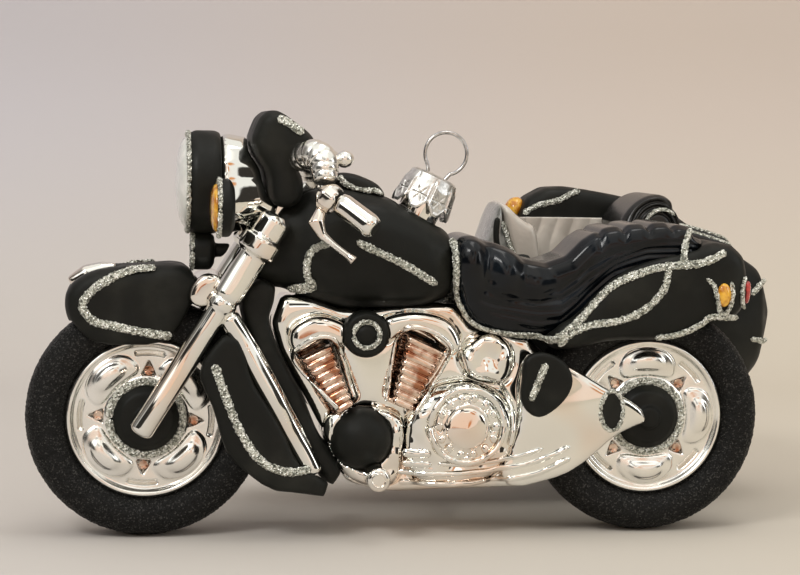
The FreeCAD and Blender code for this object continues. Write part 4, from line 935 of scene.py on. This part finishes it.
# Rings round a centre that faces sideways: centre, reach along x and up, width
def ringBand(centre, reachX, reachZ, width, side, shape=glitterShape):
    turn = np.linspace(0, 2 * np.pi, int(2 * np.pi * reachZ / glitterShape["step"]))
    path = np.stack([centre[0] + reachX * np.cos(turn), np.full_like(turn, side * centre[1]),
                     centre[2] + reachZ * np.sin(turn)], -1)
    return band(path, np.tile([0.0, side, 0.0], (len(path), 1)), width, shape)


def rimBand(centre, reach, width):  # ring round the rim of a lamp that faces forwards
    turn = np.linspace(0, 2 * np.pi, int(2 * np.pi * reach / glitterShape["step"]))
    slopes = np.stack([np.zeros_like(turn), np.cos(turn), np.sin(turn)], -1)
    return band(np.array(centre) + reach * slopes, slopes, width)


# Cast beads in the silver: pads and ridges along the crankcase, frames round the cylinders, then each width
beadLines = [
    ([(0.4, 17.6), (-5.4, 17.5)], 1.8), ([(0.4, 15.4), (-5.5, 15.3)], 1.4),
    ([(1.2, 13.6), (-8.0, 13.4), (-16.1, 14.0), (-26.3, 15.6), (-33.9, 18.8)], 1.2),
    ([(-6.7, 15.4), (-14.8, 15.6), (-23.0, 16.8), (-28.3, 18.4)], 1.0),
    ([(0.7, 11.2), (-13.5, 11.4), (-25.8, 13.0), (-34.0, 16.4)], 1.2),
    ([(13.4, 26.4), (22.4, 37.0), (14.7, 40.6), (9.6, 28.0)], 1.0),
    ([(3.4, 27.4), (0.2, 42.4), (-9.3, 38.2), (-2.0, 25.4)], 1.0),
    ([(-19.6, 31.6), (-21.6, 28.0), (-22.2, 23.4), (-21.4, 19.0)], 1.1),
]
beadRings = [((-12.4, 12.1, 23.2), 7.4, 7.4, 1.3), ((-12.4, 12.3, 23.2), 4.1, 4.1, 1.0),
             ((5.8, 16.6, 13.2), 1.35, 1.35, 0.5)]
cornerLamp = ([(-69.6, 52.6), (-69.9, 50.3), (-69.7, 47.9)], 1.9)
cornerRim = ([(-69.1, 53.6), (-68.5, 51.8), (-68.4, 50.0), (-68.6, 48.2), (-69.3, 46.8)], 0.9)
screenStripe = ([(-25.2, 63.4), (-24.9, 60.4), (-25.1, 57.8), (-25.8, 55.7)], 1.3)
studShape = {"centre": (-12.4, 23.2), "reach": 5.8, "count": 14, "half": 0.855, "width": 1.9}


def castBeads(surface):
    bands = []
    for side in (1, -1):
        bands += [lineOnFlank(surface, *line, side, shape=beadShape) for line in beadLines]
        bands += [ringBand(*ring, side, shape=beadShape) for ring in beadRings]
        for angle in np.arange(studShape["count"]) * 2 * math.pi / studShape["count"]:
            x = studShape["centre"][0] + studShape["reach"] * math.cos(angle)
            z = studShape["centre"][1] + studShape["reach"] * math.sin(angle)
            line = [(x - studShape["half"], z), (x, z), (x + studShape["half"], z)]
            bands.append(lineOnFlank(surface, line, studShape["width"], side, shape=beadShape))
    return patchPiece("cast_beads", bands, "rippled")


flankRings = [((51.2, 4.5, 24.0), 7.3, 7.3, 1.6), ((-51.2, 4.5, 24.0), 7.3, 7.3, 1.6),
              ((8.0, 11.1, 41.4), 2.6, 2.6, 1.0), ((-42.3, 10.6, 26.0), 2.3, 4.0, 0.9)]
lampRims = [((43.2, 0.0, 71.0), 9.9, 0.9), ((42.2, 0.0, 57.4), 3.7, 0.9), ((37.6, 15.8, 66.5), 5.5, 0.9),
            ((37.6, -15.8, 66.5), 5.5, 0.9)]


def glitterLines(surface):
    bands = [rimBand(*rim) for rim in lampRims]
    bands += [lineOnFlank(surface, line, width, 1, off) for line, off, width in sidecarLines]
    for off in rackLines["offs"]:
        run = np.linspace(rackLines["front"], rackLines["back"], 50)
        starts = np.stack([run, np.full(50, off), np.full(50, rackLines["from"])], -1)
        bands.append(lineOnSurface(surface, starts, (0, 0, -1), rackLines["width"]))
    for side in (1, -1):
        bands += [lineOnFlank(surface, *line, side) for line in bikeLines]
        bands += [ringBand(*ring, side) for ring in flankRings]
        bands.append(lineOnFlank(surface, *cornerRim, side))
    return patchPiece("glitter_lines", bands, "glitter", smooth=False)


# Black stripe on the sidecar's windscreen, red lamps at the saddlebags' rear corners
def stripeAndCorners(surface):
    patchPiece("windscreen_stripe", [lineOnFlank(surface, *screenStripe, 1, -20.0, beadShape)], "matt")
    corners = [lineOnFlank(surface, *cornerLamp, side, shape=beadShape) for side in (1, -1)]
    patchPiece("corner_lamps", corners, "red")


def faceOutwards(piece):
    turned = bmesh.new()
    turned.from_mesh(piece.data)
    bmesh.ops.recalc_face_normals(turned, faces=turned.faces)
    turned.to_mesh(piece.data)
    turned.free()


castBeads(outerSurface())
stripeAndCorners(outerSurface())
glitterLines(outerSurface())
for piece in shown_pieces():  # the melted skins face outwards as they are
    if "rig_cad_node" not in piece and not piece.name.endswith("_skin"):
        faceOutwards(piece)
print("beads and glitter laid")


# Camera, stage and light

cameraView = {"turn": 172.0, "rise": 4.5, "roll": 0.919, "away": 400.0, "target": (-0.18, 17.88, 49.92),
              "bikeOff": 19.0, "lens": 88.02, "sensor": 36.0}


def addCamera():
    a, e, roll = (math.radians(cameraView[k]) for k in ("turn", "rise", "roll"))
    back = Vector((math.sin(a) * math.cos(e), -math.cos(a) * math.cos(e), math.sin(e)))
    right = Vector((math.cos(a), math.sin(a), 0.0))
    up = back.cross(right)
    across = right * math.cos(roll) + up * math.sin(roll)
    upright = up * math.cos(roll) - right * math.sin(roll)
    data = bpy.data.cameras.new("photoCamera")
    data.lens = cameraView["lens"]
    data.sensor_width = cameraView["sensor"]
    data.clip_start, data.clip_end = 0.01, 10.0
    camera = linked("photoCamera", data)
    x, y, z = cameraView["target"]
    sideShift = Vector((originX, bikeY - cameraView["bikeOff"] * mm, 0.0))
    camera.location = Vector((x, y, z)) * mm + sideShift + back * cameraView["away"] * mm
    camera.rotation_euler = Matrix((across, upright, back)).transposed().to_euler()
    bpy.context.scene.camera = camera


stageShape = {"floorReach": 0.9, "bend": 0.12, "wallHeight": 0.9, "wallY": -0.32, "half": 1.2}
# Colours of wall and floor on the left and on the right, and where one turns into the other, in metres. The
# change from left to right is painted light, warmer on the left and cooler on the right.
stageTonesAndPaintedLight = {"wall": ((0.66, 0.59, 0.54), (0.60, 0.585, 0.62)), "across": (-0.16, 0.14),
              "floor": ((0.65, 0.595, 0.505), (0.60, 0.565, 0.535)), "up": (0.0, 0.1)}


def addStage():  # pale floor that bends up into a wall behind
    bend, wallY = stageShape["bend"], stageShape["wallY"]
    lean = np.linspace(0, np.pi / 2, 16)[1:]
    y = np.concatenate([np.linspace(stageShape["floorReach"], wallY + bend, 4),
                        wallY + bend * (1 - np.sin(lean)), [wallY]])
    z = np.concatenate([np.zeros(4), bend * (1 - np.cos(lean)), [stageShape["wallHeight"]]])
    x = np.linspace(-stageShape["half"], stageShape["half"], 6)
    grid = np.stack([np.tile(x, (len(y), 1)), np.repeat(y[:, None], 6, 1), np.repeat(z[:, None], 6, 1)], -1)
    mesh = bpy.data.meshes.new("paleStage")
    mesh.from_pydata(grid.reshape(-1, 3).tolist(), [], gridFaces(len(y), 6).tolist())
    mesh.polygons.foreach_set("use_smooth", np.full(len(mesh.polygons), True))
    stage = linked("paleStage", mesh)
    material, graph = finish("paleStage")
    where = graph.spot()
    # Painted light: wall and floor turn from warm to cool across x
    across = graph.ease(graph.part(where, "X"), *stageTonesAndPaintedLight["across"])
    wall, floor = (graph.mix(across, *stageTonesAndPaintedLight[kind]) for kind in ("wall", "floor"))
    tone = graph.mix(graph.ease(graph.part(where, "Z"), *stageTonesAndPaintedLight["up"]), floor, wall)
    graph.surface(Base_Color=tone, Roughness=0.9, Specular_IOR_Level=0.1)
    stage.data.materials.append(material)
    stage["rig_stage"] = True


# Lamps: place, aim, width and height in metres, power in watts, colour
lamps = {
    "window": ((0.34, 0.42, 0.52), (0.0, 0.0, 0.04), 0.20, 0.14, 1.3, (1.0, 0.98, 0.96)),
    "ceiling": ((-0.1, 0.05, 0.7), (0.0, 0.0, 0.0), 0.3, 0.2, 0.6, (1.0, 0.97, 0.94)),
    "sideFill": ((-0.55, 0.3, 0.25), (0.0, 0.0, 0.04), 0.08, 0.3, 0.3, (0.95, 0.97, 1.0)),
}


def addLamp(name, spot, aim, width, height, power, colour):
    data = bpy.data.lights.new(name, "AREA")
    data.shape = "RECTANGLE"
    data.size, data.size_y = width, height
    data.energy = power
    data.color = colour
    lamp = linked(name, data)
    lamp.location = spot
    lamp.rotation_euler = (Vector(aim) - Vector(spot)).to_track_quat("-Z", "Y").to_euler()


# Room: areas laid over each other, each with its direction, colour and, in degrees, half angle, soft edge
# and raggedness
roomLook = {"base": (0.98, 0.965, 0.91), "floor": (0.70, 0.67, 0.60), "strength": 0.98, "areas": [
    ((0.10, 1.0, -0.04), (0.96, 0.75, 0.61), 12, 30, 16),
    ((0.14, 1.0, -0.12), (0.50, 0.18, 0.08), 4.5, 2.5, 10),
    ((0.46, 0.86, 0.02), (0.06, 0.05, 0.045), 4, 2.5, 16),
    ((-0.26, 0.92, -0.2), (0.08, 0.06, 0.05), 4, 2.5, 16),
    ((-0.2, 0.95, 0.2), (0.66, 0.27, 0.10), 3.5, 2.5, 12),
    ((0.0, 0.93, 0.3), (1.5, 1.5, 1.45), 5, 2.5, 8),
    ((0.22, 1.0, -0.36), (0.36, 0.16, 0.08), 6, 6, 12),
    ((0.75, 0.62, 0.10), (0.03, 0.028, 0.025), 17, 5, 24),
    ((-0.72, 0.66, 0.04), (0.04, 0.035, 0.03), 15, 5, 24),
    ((0.02, 0.80, 0.42), (0.05, 0.045, 0.04), 6, 4, 16),
    ((0.12, 0.78, -0.50), (0.07, 0.055, 0.04), 5, 4, 14),
    ((0.30, 0.70, 0.62), (0.04, 0.04, 0.045), 9, 5, 16),
    ((0.50, 0.60, -0.60), (0.08, 0.06, 0.045), 10, 6, 16),
    ((-0.62, 0.50, -0.60), (0.06, 0.05, 0.04), 10, 6, 16),
    ((-0.35, 0.80, 0.45), (0.78, 0.34, 0.13), 7, 5, 14),
    ((-0.20, 0.74, -0.62), (0.34, 0.31, 0.27), 14, 12, 18),
    ((0.95, -0.10, 0.35), (0.20, 0.185, 0.17), 20, 12, 14),
    ((-0.95, -0.15, 0.20), (0.16, 0.145, 0.135), 18, 12, 14),
    ((0.55, 0.62, 0.56), (1.6, 1.6, 1.55), 12, 4, 6),
    ((-0.10, 0.55, 0.84), (1.35, 1.3, 1.2), 16, 6, 8),
]}


def roomColour(graph):
    ray = graph.node("ShaderNodeTexCoord", {}, {}, out="Generated")
    ragged = graph.node("ShaderNodeTexNoise", {}, {"Vector": ray, "Scale": 2.1, "Detail": 0.0}) - 0.5
    rise = graph.ease(graph.part(ray, "Z"), -0.12, 0.02)
    colour = graph.mix(rise, roomLook["floor"], roomLook["base"])
    for toward, tint, half, edge, rags in roomLook["areas"]:
        aim = graph.node("ShaderNodeVectorMath", {"operation": "DOT_PRODUCT"},
                         {0: ray, 1: tuple(Vector(toward).normalized())}, out="Value")
        angle = graph.node("ShaderNodeMath", {"operation": "ARCCOSINE"}, {0: aim}) * (180 / math.pi)
        share = graph.ease(angle + ragged * rags, half, half + edge, 1.0, 0.0)
        colour = graph.mix(share, colour, tint)
    return colour


def addLight():
    world = bpy.data.worlds.new("room")
    bpy.context.scene.world = world
    graph = Graph(world, "ShaderNodeOutputWorld")
    sockets = {"Color": roomColour(graph), "Strength": roomLook["strength"]}
    shader = graph.node("ShaderNodeBackground", {}, sockets)
    graph.tree.links.new(shader.socket, graph.output.inputs["Surface"])
    for name, settings in lamps.items():
        addLamp(name, *settings)


addCamera()
addStage()
addLight()
bpy.context.scene.view_settings.view_transform = "Standard"

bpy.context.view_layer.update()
print("triangles added:", sum(len(p.vertices) - 2 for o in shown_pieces() if "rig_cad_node" not in o
                              for p in o.data.polygons))
